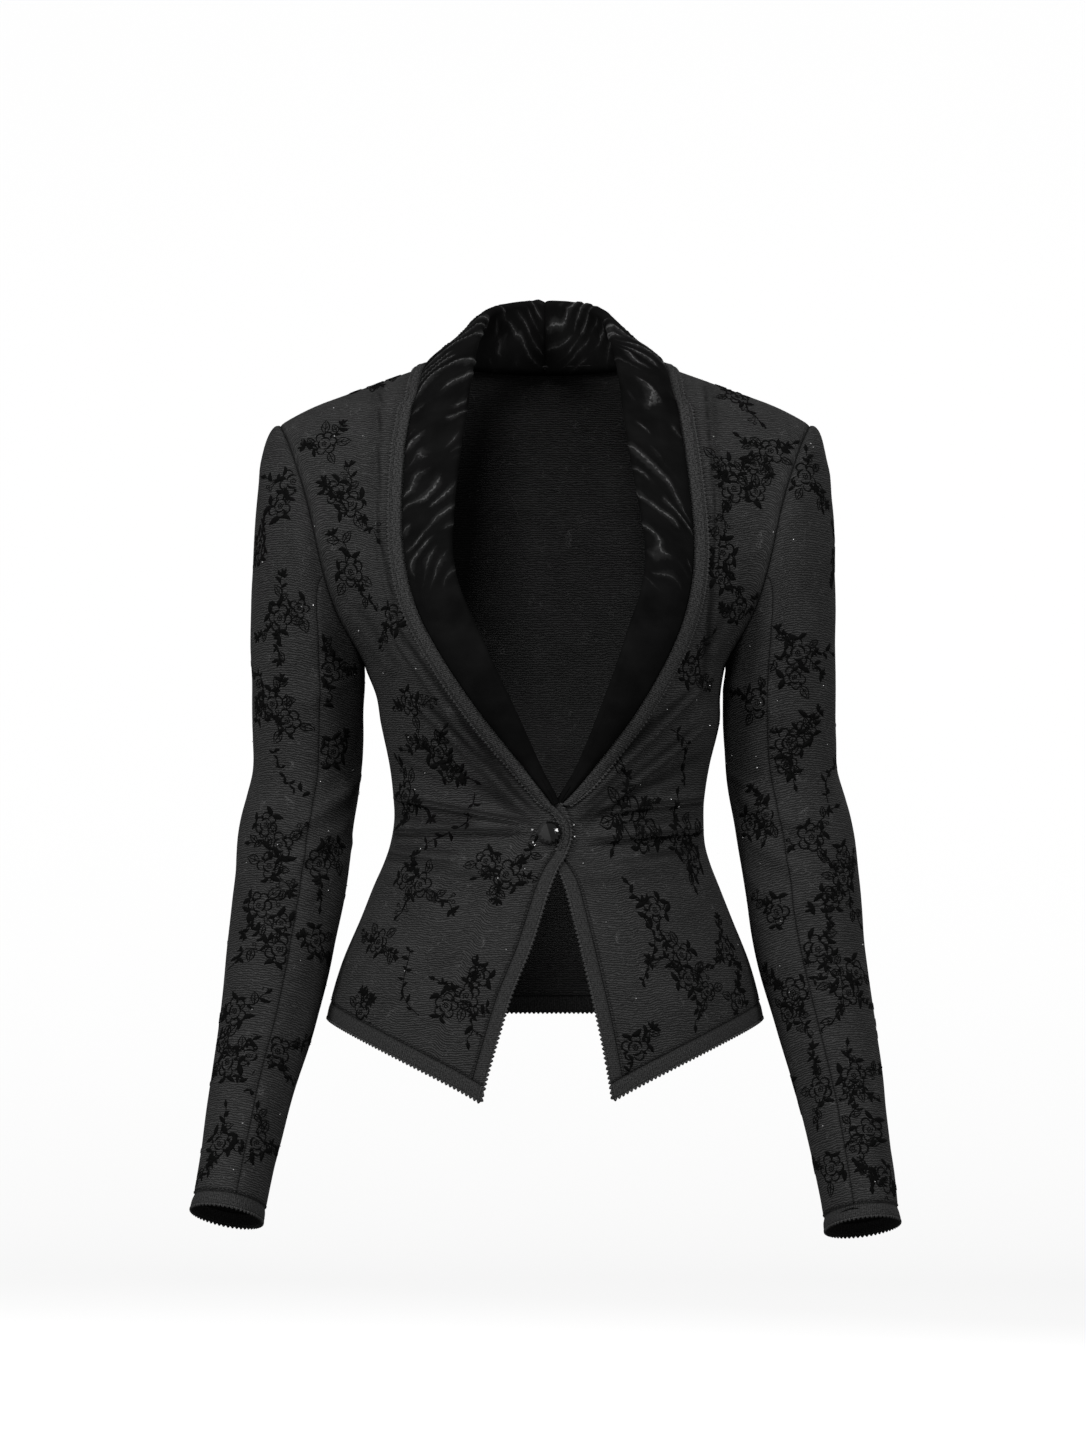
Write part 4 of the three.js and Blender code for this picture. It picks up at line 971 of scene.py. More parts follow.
# The sleeve without its creases. turn goes from the top of the armhole over the front, down
# is 0 at the armhole, 1 at the first ring and one more for each further ring. The cap is a
# cubic between the armhole and the first ring, with longer tangents over the shoulder.
def sleevePoint(side, turn, down):
    turn, down = np.broadcast_arrays(turn, down)
    top = (1 + np.cos(turn)) / 2
    start = roundArmhole(bodyPoint, side, turn)
    stop = sleeveRing(side, turn, 0 * turn)
    sideways, forwards, up = side * (0.25 + 0.75 * top ** 0.4), -0.5 * np.sin(turn), mix(-1, 0.12, top ** 0.8)
    leave = unit(np.stack([sideways, forwards, up], -1))
    leave = leave * mix(*sleeveLook["capLeave"], np.sqrt(top))[..., None]
    arrive = unit(sleeveRing(side, turn, 0 * turn + 0.05) - stop)
    arrive = arrive * mix(*sleeveLook["capArrive"], np.sqrt(top))[..., None]
    cap = hermite(start, leave, stop, arrive, np.minimum(down, 1)[..., None])
    return np.where((down > 1)[..., None], sleeveRing(side, turn, np.maximum(down, 1) - 1), cap)


def sleeveNormal(side, turn, down):
    low = np.clip(down - 0.01, 0, lastRing - 0.03)
    across = sleevePoint(side, turn + 0.01, down) - sleevePoint(side, turn - 0.01, down)
    along = sleevePoint(side, turn, low + 0.02) - sleevePoint(side, turn, low)
    return unit(np.cross(across, along)) * side


# Creases of a sleeve at a turn and a height. They fade at the armhole, the seams and the cuff.
def sleeveLift(side, turn, down, z):
    share = np.mod(turn / (2 * np.pi), 1)
    girth = sleeveLook["girth"]
    lift = 0
    for fold in sleeveFolds[side]:
        shifted = np.mod(share - fold["x1"] + 0.5, 1) - 0.5
        flatFold = {**fold, "x1": 0, "x2": (fold["x2"] - fold["x1"]) * girth}
        lift = lift + sleeveLook["creases"] * foldHeight(flatFold, shifted * girth, z)
    wave = softNoise(np.cos(turn) * 2.1 + 20, z / 30 + 30 + np.sin(turn) * 2.1, 11 + side)
    lift = lift + uneven["sleeve"] * (wave - 0.5)
    end = sleeveEnd(side)
    return lift * smooth(0, 0.22, down) * smooth(end, end - 0.9, down)


def sleeveSurface(side, turn, down):
    turn, down = np.broadcast_arrays(turn, down)
    points = sleevePoint(side, turn, down)
    lift = sleeveLift(side, turn, down, points[..., 2])
    return points + sleeveNormal(side, turn, down) * lift[..., None]


# Body and sleeve share one outward direction where they meet.
def armholeDirection(side, turn):
    body = roundArmhole(bodyNormal, side, turn)
    both = unit(body + sleeveNormal(side, turn, 0 * turn))
    reach = np.clip(1 / np.maximum(0.1, np.sum(both * body, -1)), 1, 1.3)
    return both * reach[..., None]


def armholeTurn(level, face):
    share = (cut["tipZ"] - level) / (cut["tipZ"] - cut["underarmZ"])
    turn = np.arccos(np.clip(1 - 2 * share, -1, 1))
    return turn if face < 0 else 2 * np.pi - turn


# Outward directions down the armhole and the side seam of a panel.
def seamDirections(side, face, rows):
    level = np.maximum(rows["level"], cut["underarmZ"])
    directions = armholeDirection(side, armholeTurn(level, face))
    below = (rows["level"] < cut["underarmZ"]) | (rows["share"] >= 0)
    return np.where(below[:, None], np.array([side, 0, 0]), directions)


def shoulderDirection(side, across):
    level = cut["tipZ"] - 0.01 + 0 * across
    return unit(bodyNormal(side, -1, across, level) + bodyNormal(side, 1, across, level))


# The cuff starts its own width above the last ring.
def sleeveEnd(side):
    table = sleeveTables[side]
    steps = [table[key][-1] - table[key][-2] for key in ("x", "y", "z")]
    return lastRing - cut["cuffWidth"] / math.hypot(*steps)


patches = {}   # evenly spaced grids of the panels, on which motifs are laid
patchStep = 1.8


# A grid of points and their outward directions, read again at equal distances down every
# column and then along every row.
def evenGrid(field, step):
    for _ in range(2):
        gaps = np.linalg.norm(np.diff(field[..., :3], axis=0), axis=-1)
        reach = np.concatenate([np.zeros((1, field.shape[1])), np.cumsum(gaps, 0)])
        count = int(round(float(reach[-1].max()) / step)) + 1
        share = np.linspace(0, 1, count)
        # What was a column is a row now, so that the second round reads the rows.
        field = np.stack([readAlong(share, reach[:, j] / reach[-1, j], field[:, j])
                          for j in range(field.shape[1])])
    return field


def keepPatch(name, points, normals):
    field = evenGrid(np.concatenate([points, normals], -1), patchStep)
    patches[name] = {"points": field[..., :3], "normals": unit(field[..., 3:])}


# The grid of a front at rows and places, with its outward directions and shares across.
def frontGrid(side, rows, place):
    across, level = frontPlace(side, rows, place)
    points = frontSurface(side, across, level)
    return points, gridNormals(points, outFromAxis(points)), across


def buildFronts():
    rows = panelRows()
    for side in (-1, 1):
        name = sideName[side]
        points, normals, across = frontGrid(side, rows, edgeSteps(panelLook["across"], frontSpan))
        shared = {"end": seamDirections(side, -1, rows), "top": shoulderDirection(side, across[0])}
        x, z = side * points[..., 0], points[..., 2]
        # Painted shade in the grooves under the folds, carried by the "shade" attribute.
        shade = np.minimum(1, sum(foldShade(fold, x, z) for fold in frontFolds[side]))
        knitPiece(f"front_{name}", points, normals, ["back"], shared, panelLook["levelRow"], {"shade": shade})


# Rows across the hem band.
def hemBandRows():
    down = edgeSteps(bandLook["rows"], cut["hemBandWidth"])
    fixed = np.full(down.shape, float(cut["foldBottomZ"]))
    return rowsOf(fixed, 1 + 0 * down, down * cut["hemBandWidth"])


# The outward direction at the side seam, which both hem bands share.
def outSideways(side, rows):
    return np.broadcast_to([side, 0, 0.0], (len(rows["level"]), 3))


# Places along the hem band of a front: over the front band, then to the side seam, closer
# together at both ends.
def hemBandPlaces():
    tip = [-1, -0.985, -0.95, -0.9]
    overBand = np.linspace(-1, 0, 7)[1:]
    overPanel = np.linspace(0, 1, bandLook["hemColumns"])[1:-2]
    return np.concatenate([tip, overBand, overPanel, 1 - np.array([0.012, 0.005, 0.002, 0])])


# The band down the front edge below the button, and the one along the hem.
def buildFrontBands():
    rows = panelRows()
    low = rows["level"] < cut["bandTopZ"]
    bandRows, hemRows = {key: rows[key][low] for key in rows}, hemBandRows()
    for side in (-1, 1):
        name = sideName[side]
        place = -1 + edgeSteps(bandLook["columns"], cut["frontBandWidth"])
        points, normals, across = frontGrid(side, bandRows, place)
        bandPiece(f"front_band_{name}", points, normals, ["bottom", "end"], [f"front_{name}"], turned=True)
        keepLines(f"front_{name}", points, normals, "start", "end")

        points, normals, across = frontGrid(side, hemRows, hemBandPlaces())
        bandPiece(f"hem_band_front_{name}", points, normals, ["top", "end"], [f"front_{name}"],
                  shared={"end": outSideways(side, hemRows)})
        keepLines(f"hem_{name}", points, normals, "bottom", "top")
        edges[f"tip_{name}"] = edgeLine(points, normals, "start")


backFolds = foldTable(
    (-112, -352, -26, -348, 2.2, 5),
    (112, -350, 30, -354, 2.0, 5),
    (-60, -376, 48, -373, 1.8, 6),
    (-128, -196, -70, -262, 2.2, 8),
    (126, -190, 76, -270, 2.0, 8),
    (-104, -332, -44, -330, 1.2, 5),
    (108, -330, 52, -335, 1.3, 5),
    (-114, -372, -78, -380, 1.3, 5),
    (112, -374, 72, -383, 1.2, 5),
    (-30, -362, 26, -360, -1.0, 4),
    (-166, -120, -140, -196, 1.2, 8),
    (162, -112, 140, -190, 1.3, 8),
    (-40, -22, 38, -26, 0.9, 8),
)


def backSurface(across, level):
    points = bodyPoint(1, 1, across, level)
    x, z = points[..., 0], points[..., 2]
    lift = sum(foldHeight(fold, x, z) for fold in backFolds)
    lift = lift + uneven["back"] * (softNoise(x / 38 + 9, z / 28 + 40, 3) - 0.5)
    lift = lift * smooth(1, 0.93, np.abs(across)) * smooth(cut["tipZ"], cut["tipZ"] - 6, level)
    return points + bodyNormal(1, 1, across, level) * lift[..., None]


# Level of the row through the neck edge, by share across.
def neckLevel(across):
    ridge = ridgeZ(cut["shoulderHalf"] * np.abs(across))
    fall = np.maximum(0, (ridge - cut["neckZ"]) / (ridge - cut["underarmZ"]))
    return mix(cut["tipZ"], cut["underarmZ"], fall)


# The back's grid: columns close up towards the sides on the way down, and the top row
# follows the shoulder seams with the level neck edge between them.
def backPlace(rows, column):
    underarmZ, tipZ = cut["underarmZ"], cut["tipZ"]
    level = rows["level"][:, None]
    share, below = rows["share"][:, None], rows["below"][:, None]
    closed = np.clip((tipZ - level) / (tipZ - underarmZ), 0, 1)
    across = mix(column, np.sin(column * np.pi / 2), closed)
    top = neckLevel(across)
    high = mix(top, underarmZ, (tipZ - level) / (tipZ - underarmZ))
    hem = cut["sideHemZ"] - cut["backHemDrop"] * (1 - across ** 2) + cut["hemBandWidth"]
    low = mix(cut["foldBottomZ"], hem, share) - below
    placed = np.where(level > underarmZ, high, level + 0 * across)
    return across, np.where(share >= 0, low, placed)


def backGrid(rows, column):
    across, level = backPlace(rows, column)
    points = backSurface(across, level)
    return points, gridNormals(points, outFromAxis(points)), across


def buildBack():
    rows = panelRows()
    neckShare = cut["neckHalf"] / cut["shoulderHalf"]
    corners = [-neckShare, neckShare, -neckShare + 0.004, neckShare - 0.004]
    column = edgeSteps(panelLook["backAcross"], backSpan) * 2 - 1
    points, normals, across = backGrid(rows, np.unique(np.concatenate([column, corners])))
    out = np.abs(across[0])
    shoulders = np.where((across[0] < 0)[:, None], shoulderDirection(-1, out), shoulderDirection(1, out))
    shared = {
        "start": seamDirections(-1, 1, rows), "end": seamDirections(1, 1, rows),
        "top": np.where((out >= neckShare - 1e-6)[:, None], shoulders, normals[1]),
    }
    knitPiece("back", points, normals, [], shared, panelLook["levelRow"])

    hemRows = hemBandRows()
    points, normals, across = backGrid(hemRows, edgeSteps(panelLook["hemAcross"], backSpan) * 2 - 1)
    bandPiece("hem_band_back", points, normals, ["top", "start", "end"], ["back"],
              shared={"start": outSideways(-1, hemRows), "end": outSideways(1, hemRows)})
    keepLines("hem_back", points, normals, "bottom", "top")


def buildSleeves():
    for side in (-1, 1):
        name = sideName[side]
        end = sleeveEnd(side)
        capRows = sleeveLook["capRows"]
        cap = np.concatenate([[0, 0.0025, 0.006, 0.012, 0.025], np.linspace(0.05, 1, capRows)])
        down = np.concatenate([cap, np.linspace(1, end - 0.25, sleeveLook["rows"] - capRows)[1:],
                               end - np.array([0.18, 0.12, 0.06, 0.02, 0])])[:, None]
        front, back = sleeveLook["frontSeam"], sleeveLook["backSeam"]
        pieces = {   # from and to a share of a turn, columns, and mm across
            "under": (front, back, sleeveLook["under"], 90.0),
            "upper": (back, 1 + front, sleeveLook["upper"], 160.0),
        }
        for piece, (start, stop, count, size) in pieces.items():
            turn = mix(start, stop, edgeSteps(count, size))[None, :] * 2 * np.pi
            points = sleeveSurface(side, turn, down)
            normals = gridNormals(points, sleeveNormal(side, turn, down))
            knitPiece(f"sleeve_{piece}_{name}", points, normals, ["back", f"front_{name}"],
                      {"top": armholeDirection(side, turn[0])}, -1)
        turn = np.linspace(0, 1, sleeveLook["cuffSides"])[None, :] * 2 * np.pi
        steps = edgeSteps(bandLook["rows"], cut["cuffWidth"])
        down = mix(end, lastRing + sleeveLook["cuffPast"], steps)[:, None]
        points = sleevePoint(side, turn, down)
        normals = gridNormals(points, sleeveNormal(side, turn, down), ring=True)
        bandPiece(f"cuff_{name}", points, normals, ["top"], [f"sleeve_upper_{name}"], ring=True)
        keepLines(f"cuff_{name}", points, normals, "bottom", "top")


# The line along one edge of a grid: its points, the direction out of the cloth and the
# direction off the edge.
def edgeLine(points, normals, edge):
    if edge in ("start", "end"):
        points, normals = points.swapaxes(0, 1), normals.swapaxes(0, 1)
    rim, inner = (0, 1) if edge in ("top", "start") else (-1, -2)
    return {"points": points[rim], "normals": unit(normals[rim]), "off": unit(points[rim] - points[inner])}


edges = {}       # lines that carry picots
seamLines = {}   # lines that carry stitches


def keepLines(name, points, normals, edge, seam):
    edges[name] = edgeLine(points, normals, edge)
    seamLines[name] = edgeLine(points, normals, seam)


# Stations up the front from the button: the roll line, the outer edge of the velvet and how
# far it turns inside. Sideways sizes are from the opening's middle line.
collarTable = {
    "rollX": [-1.5, 3, 15.5, 37, 58, 70, 74, 71.5, 65, 60],
    "rollZ": [-338.5, -329, -306, -256, -204, -172, -143, -113, -68, -32],
    "edgeX": [2.7, 9.5, 26, 60, 89, 104, 110.5, 111, 107.5, 102.5],
    "edgeZ": [-339.5, -331.5, -311, -267, -220, -184, -148, -113, -67, -33],
    "turn": [2, 4, 8, 12, 12, 12, 12, 12, 12, 12],
    "band": [6.4, 7.6, 9.2, 9.5, 9.5, 9.5, 9.5, 9.5, 9.5, 9.5],
}

# Round the neck it stands free, so these rows give depths too.
neckTable = {
    "rollX": [60, 55.5, 51, 46, 27, 0],
    "rollY": [-62, -35, -8, 26, 56, 66],
    "rollZ": [-32, 3, 27, 47, 57, 60],
    "edgeX": [102.5, 96, 87, 72, 39, 0],
    "edgeY": [-53, -20, 14, 52, 77, 85],
    "edgeZ": [-33, -4, 5, 0, -3, -4],
    "neckX": [63.2, 70.2, 74.6, 64, 36, 0],
    "neckZ": [-32, -2, 9.5, 9.5, 9.5, 9.5],
}

collarLook = {
    "bulge": 2.4, "neckAxisY": 15, "neckTurn": 6, "neckEase": 1.4, "frontStations": 22, "neckStations": 15,
    "inside": 5, "roll": 11, "fall": 32, "fine": 220,
    "crush": 1.3, "crushPitch": 11.5,   # mm, height of the pressed wrinkles and the way to the next
    "crushSlant": (0.66, 0.75),         # how they lie along and across the collar
    "crushLow": -160,                   # they fade out below this height
    "crest": 0.16,                      # half width of one, as a share of the way to the next
    "plain": (14, 24),                  # mm from the inner edge over which they set in
    "swell": 0.3,                       # a slow unevenness, as a share of their height
}
rollRadius = cut["knit"] / 2 + cut["layerGap"] + cut["pile"] / 2
tailLook = {"topZ": -341, "footZ": -376, "offset": (4.5, 0.2), "low": 0.7, "sink": 1.9}   # mm
bandShares = np.linspace(0, 1, 7)[None, :]   # steps across the lapel band


# A point of a front at a sideways place and a height, with its outward direction.
def frontPoint(side, x, z, lift):
    across, level = locate(side, x, z)
    return frontSurface(side, across, level, lift), bodyNormal(side, -1, across, level)


# The section of the collar at stations on the body: inside the front, round the roll line,
# then over the front to the velvet's outer edge, each point moved out or in from the front.
def frontSections(side, at):
    at = at[:, None]
    rollX, rollZ, edgeX, edgeZ, turn, width = (stationValue(collarTable, key, at) for key in collarTable)
    reach = np.hypot(edgeX - rollX, edgeZ - rollZ)
    outX, outZ = (edgeX - rollX) / reach, (edgeZ - rollZ) / reach
    radius = rollRadius + cut["pile"] / 2
    half = cut["knit"] / 2
    inside = np.linspace(1, 0, collarLook["inside"])[None, :-1]
    angle = np.linspace(0, np.pi, collarLook["roll"])[None, :]
    share = np.linspace(0, 1, collarLook["fall"])[None, 1:]
    far = np.concatenate([radius + turn * inside, radius - rollRadius * np.sin(angle) + 0 * turn,
                          mix(radius, reach, share)], 1)
    bulge = collarLook["bulge"] * 4 * share * (1 - share) * np.minimum(1, reach / 30)
    under, over = -half - rollRadius + 0 * turn * inside, -half - rollRadius * np.cos(angle) + 0 * turn
    lift = np.concatenate([under, over, rollRadius - half + bulge], 1)

    def placed(far, lift):
        z = rollZ + outZ * far
        return frontPoint(side, openingCentre(z) + side * (rollX + outX * far), z, lift)[0]

    band = reach + cut["seamGap"] + width * bandShares
    ribbed = placed(band, 0 * band + rollRadius - half)
    if side < 0:
        ribbed = np.concatenate([bandTail(side, width[0]), ribbed])
    return placed(far, lift), ribbed


# The right band runs on down the front edge past the button: from beside the velvet's end it
# comes over to the edge, and sinks into the front band at its foot.
def bandTail(side, width):
    t = np.linspace(1, 0, 9)[:-1, None]
    z = mix(tailLook["topZ"], tailLook["footZ"], t)
    offset = mix(*tailLook["offset"], smooth(0, 0.4, t)) + width * bandShares
    lift = mix(rollRadius - cut["knit"] / 2, tailLook["low"], smooth(0, 0.8, t))
    lift = lift - tailLook["sink"] * smooth(0.85, 1, t)
    x = openingCentre(z) + side * (openingHalf(z) + offset)
    return frontPoint(side, x, z + 0 * x, lift + 0 * x)[0]


# Samples of the shoulders and upper back, to keep the collar clear of them.
def bodySamples():
    share, turn = np.meshgrid(np.linspace(0, 1, 41), np.linspace(0.02, np.pi * 0.6, 35))
    level = mix(cut["tipZ"], cut["underarmZ"], (1 - np.cos(turn)) / 2)
    points, normals = [], []
    for side in (-1, 1):
        for face in (-1, 1):
            points.append(bodyPoint(side, face, share, level).reshape(-1, 3))
            normals.append(bodyNormal(side, face, share, level).reshape(-1, 3))
    points, normals = np.concatenate(points), np.concatenate(normals)
    keep = points[:, 2] < cut["neckZ"] + 1
    return points[keep], normals[keep]


samplePoints, sampleNormals = bodySamples()


# Moves points out until they stand at least lift off the nearest sample.
def keepOff(points, lift):
    flat = points.reshape(-1, 3)
    near = np.argmin(((flat[:, None, :] - samplePoints[None]) ** 2).sum(-1), 1)
    normal = sampleNormals[near]
    stand = np.sum((flat - samplePoints[near]) * normal, -1)
    return (flat + normal * np.maximum(0, lift - stand)[:, None]).reshape(points.shape)


# Sections round the neck: a stand inside the neck edge, the roll, and the free fall.
def neckSections(side, at):
    last = len(neckTable["rollX"]) - 1

    def read(name, t):
        ends = {"X": -1, "Y": 1, "Z": 1}   # past the middle of the back only x changes sign
        x, y, z = (stationValue(neckTable, name + axis, t, end) for axis, end in ends.items())
        return np.stack([side * x, y, z], -1)

    stand = rollRadius - cut["knit"] / 2
    roll = read("roll", at)
    edge = keepOff(read("edge", at), stand)
    along = unit(read("roll", np.minimum(last, at + 0.05)) - read("roll", at - 0.05))
    along = np.where((at >= last)[:, None], np.array([-side, 0, 0]), along)
    out = edge - roll
    out = unit(out - along * np.sum(out * along, -1, keepdims=True))
    normal = unit(np.cross(out, along)) * side
    centre = roll + out * (rollRadius + cut["pile"] / 2)

    # A point under the front as far as the shoulder seam, and under the back past it.
    def below(x, z, lift):
        across, level = locate(side, side * x, z)
        front, back = (bodyPoint(side, face, across, level) - bodyNormal(side, face, across, level) * lift
                       for face in (-1, 1))
        return np.where((at < 2)[:, None], front, back)

    neckX, neckEdge = stationValue(neckTable, "neckX", at, -1), stationValue(neckTable, "neckZ", at, 1)
    corner = below(neckX, neckEdge, cut["knit"] / 2)
    inwards = np.array([0, collarLook["neckAxisY"], 0]) - corner
    inwards = unit(inwards * np.array([1, 1, 0]))
    turnIn = collarLook["neckTurn"]
    foot = below(neckX + turnIn * np.abs(inwards[:, 0]), neckEdge - turnIn * np.abs(inwards[:, 1]),
                 cut["knit"] / 2 + rollRadius + collarLook["neckEase"])
    corner = corner + inwards * rollRadius
    angle = np.linspace(0, np.pi, collarLook["roll"])[None, :, None]
    arc = centre[:, None] - normal[:, None] * rollRadius * np.cos(angle)
    arc = arc - out[:, None] * rollRadius * np.sin(angle)
    # The stand: from its foot past the corner to the start of the roll, as a soft curve.
    s = np.linspace(0, 1, collarLook["inside"])[None, :-1, None]
    stand3 = (1 - s) ** 2 * foot[:, None] + 2 * s * (1 - s) * corner[:, None] + s ** 2 * arc[:, :1]
    share = np.linspace(0, 1, collarLook["fall"])[None, 1:, None]
    bulge = normal[:, None] * 8 * collarLook["bulge"] * share * (1 - share)
    fall = keepOff(mix(arc[:, -1:], edge[:, None], share) + bulge, stand)
    heading = unit(fall[:, -1] - fall[:, -4])
    far = np.linspace(cut["seamGap"], cut["seamGap"] + cut["lapelBandWidth"], 7)[None, :, None]
    band = keepOff(fall[:, -1:] + heading[:, None] * far, stand)
    return np.concatenate([stand3, arc, fall], 1), band


# A finer grid through rows of sections, by Catmull-Rom between them.
def refined(sections, count):
    last = len(sections) - 1
    at = np.linspace(0, last, count)
    i = np.clip(np.floor(at).astype(int), 0, last - 1)
    t = (at - i).reshape((-1,) + (1,) * (sections.ndim - 1))
    b, c = sections[i], sections[i + 1]
    a, d = sections[np.maximum(i - 1, 0)], sections[np.minimum(i + 2, last)]
    a = np.where((i > 0).reshape(t.shape), a, 2 * b - c)
    d = np.where((i + 2 <= last).reshape(t.shape), d, 2 * c - b)
    return passing(a, b, c, d, t)


# Pressed wrinkles of the velvet run slanting, up and inwards. The first value counts them:
# distance across them over their pitch, bent by two noises. The second is where they show.
def crushFields(along, across, seed):
    down, over = collarLook["crushSlant"]
    cross, slant = along * down + across * over, along * over - across * down
    count = cross / collarLook["crushPitch"] + 1.9 * softNoise(slant / 36 + 9, cross / 19 + 9, seed)
    count = count + 0.45 * softNoise(slant / 13 + 9, cross / 7 + 9, seed + 1)
    shown = smooth(0.33, 0.62, softNoise(slant / 20 + 20, cross / 9 + 20, seed + 2))
    return count, shown


def buildCollars():
    for side in (-1, 1):
        name = sideName[side]
        stations = [np.linspace(0, len(table["rollX"]) - 1, collarLook[key] + 1)
                    for table, key in ((collarTable, "frontStations"), (neckTable, "neckStations"))]
        sections = zip(frontSections(side, stations[0]), neckSections(side, stations[1][1:]))
        velvet, ribbed = (refined(np.concatenate(both), collarLook["fine"]) for both in sections)
        normals, bandNormals = (gridNormals(grid, np.array([0, -1, 0])) for grid in (velvet, ribbed))
        for field in (normals, bandNormals):
            field[-1] = unit(field[-1] * np.array([0, 1, 1]))   # square to the middle of the back
        down, across = arcs(velvet)
        along = np.mean(down, 1)[:, None] + 0 * across
        upper = smooth(collarLook["crushLow"] - 18, collarLook["crushLow"] + 14, velvet[..., 2])
        outside = smooth(*collarLook["plain"], across)
        count, shown = crushFields(along, across, 31 + 5 * side)
        edgeFade = smooth(0, 5, across[:, -1:] - across) * smooth(0, 8, along[-1:] - along)
        press = shown * upper * mix(0.12, 1, outside) * edgeFade
        gap = np.abs(count - np.floor(count) - 0.5)
        swell = softNoise(along / 40 + 3, across / 18 + 3, 9) - 0.5
        crest = np.exp(-(gap / collarLook["crest"]) ** 2) * press + collarLook["swell"] * swell
        outer = velvet + normals * (cut["pile"] / 2 + collarLook["crush"] * crest * edgeFade)[..., None]
        clothPiece(f"collar_{name}", outer, normals, cut["pile"], velvetMaterial, "velvet", ["bottom", "end"],
                   rests=[f"front_{name}", "back"], fields={"crush": count, "press": press}, seamGap=0.0)
        top = ribbed + bandNormals * cut["knit"] / 2
        clothPiece(f"lapel_band_{name}", top, bandNormals, cut["knit"], lapelMaterial, "ribbed_band",
                   ["bottom", "start"], rests=[f"collar_{name}"], turned=True, seamGap=0.0)
        edges[f"lapel_{name}"] = edgeLine(ribbed, bandNormals, "end")
        line = edgeLine(top, bandNormals, "end")
        seamLines[f"lapel_{name}"] = {**line, "off": -line["off"]}


# Loops of the edging in mm: the way from one to the next, the tube's radius between them and
# on them, and how deep it lies in the cloth. It is squashed by flat, and each loop has so
# many stations of so many corners.
picotLook = {"pitch": 3.6, "thin": 0.4, "thick": 1.6, "sunk": 0.6, "flat": 0.75, "stations": 4, "round": 6}


# A line read again at even steps of its length.
def evenLine(line, step):
    reach = np.concatenate([[0], np.cumsum(np.linalg.norm(np.diff(line["points"], axis=0), axis=-1))])
    count = max(2, int(round(reach[-1] / step)))
    at = np.linspace(0, reach[-1], count + 1)
    return {key: readAlong(at, reach, line[key]) for key in line}, at


# A beaded tube along an edge: its radius swells and narrows with the size of a sine, once for
# each loop of the picot, and its middle stands off the edge.
def picotTube(line):
    pitch = picotLook["pitch"]
    read, at = evenLine(line, pitch / picotLook["stations"])
    loops = max(1, round(at[-1] / pitch))
    swell = np.abs(np.sin(np.pi * loops * at / at[-1]))
    radius = mix(picotLook["thin"], picotLook["thick"], swell)[:, None, None]
    angle = np.linspace(0, 2 * np.pi, picotLook["round"], endpoint=False)[None, :, None]
    off, out = read["off"], read["normals"]
    middle = read["points"] - out * picotLook["sunk"] + off * (0.1 + 0.9 * swell[:, None])
    circle = off[:, None] * np.cos(angle) + out[:, None] * picotLook["flat"] * np.sin(angle)
    return tubeMesh(middle[:, None] + radius * circle, np.stack([at, at * 0], -1))


# Quads of a tube whose two ends are closed by quads over six corners.
def tubeMesh(ring, flat):
    rows, sides = ring.shape[:2]
    caps = []
    for row, order in ((0, 1), (rows - 1, -1)):
        base = row * sides
        corners = [[base, base + 1, base + 2, base + 3], [base + 3, base + 4, base + 5, base]]
        caps += [corner[::order] for corner in corners]
    quads = np.concatenate([ringQuads(rows, sides), np.array(caps)])
    rowOf = quads // sides
    return ring.reshape(-1, 3), quads, flat[rowOf]


def joined(parts):
    points, quads, maps, count = [], [], [], 0
    for point, quad, flat in parts:
        points.append(point)
        quads.append(quad + count)
        maps.append(flat)
        count += len(point)
    return np.concatenate(points), np.concatenate(quads), np.concatenate(maps)


def buildPicots():
    points, quads, maps = joined([picotTube(line) for line in edges.values()])
    addMesh("picot_edging", points, quads, picotMaterial, maps)


# Stitches in mm: the way from one to the next, the share of it that one covers, how far off
# the seam they lie, their width, and how far they rise and sink.
stitchLook = {"step": 3.3, "share": 0.62, "off": 2.0, "width": 0.7, "rise": 0.3, "sunk": 0.7}


# Strips that lie on a surface: four rails side by side, the two outer ones sunk into the
# cloth and the two inner ones raised, closed at both ends. rails is (strips, stations, 4, 3).
def stripMesh(rails):
    strips, stations = rails.shape[:2]
    s = np.arange(strips)[:, None, None] * stations * 4
    i = np.arange(stations - 1)[None, :, None] * 4
    j = np.arange(4)[None, None, :]
    k = (j + 1) % 4
    sides = np.stack([s + i + j, s + i + 4 + j, s + i + 4 + k, s + i + k], -1).reshape(-1, 4)
    start = s[:, 0, :] + np.arange(4)[None, :]
    stop = (s[:, 0, :] + (stations - 1) * 4 + np.arange(4)[None, :])[:, ::-1]
    return rails.reshape(-1, 3), np.concatenate([sides, start, stop])


# A row of sewn stitches beside a seam.
def stitchRails(line):
    read, at = evenLine(line, stitchLook["step"] / 3)
    count = len(at) // 3 - 1
    place = np.arange(count)[:, None] * 3 + np.linspace(0, stitchLook["share"] * 3, 4)[None, :]
    known = np.arange(len(at))
    middle, up, off = (readAlong(place, known, read[key]) for key in ("points", "normals", "off"))
    middle = middle + off * stitchLook["off"]
    half = stitchLook["width"] / 2
    arch = np.sin(np.linspace(0.25, 0.75, 4) * np.pi)[None, :, None]
    low, high = -up * stitchLook["sunk"], up * (stitchLook["rise"] * arch)
    return np.stack([middle - off * half + low, middle - off * half * 0.5 + high,
                     middle + off * half * 0.5 + high, middle + off * half + low], 2)


def buildStitches():
    rails = np.concatenate([stitchRails(line) for line in seamLines.values()])
    points, quads = stripMesh(rails)
    addMesh("edge_stitches", points, quads, threadMaterial)


fine = np.linspace(0, 1, 9)       # stations of a curved stroke
short = np.linspace(0, 1, 5)      # stations of a small filled one


# A stroke is a path in millimetres and a width at each of its stations.
def stroke(x, y, width):
    return np.stack([x, y, np.broadcast_to(width, np.shape(x))], -1)


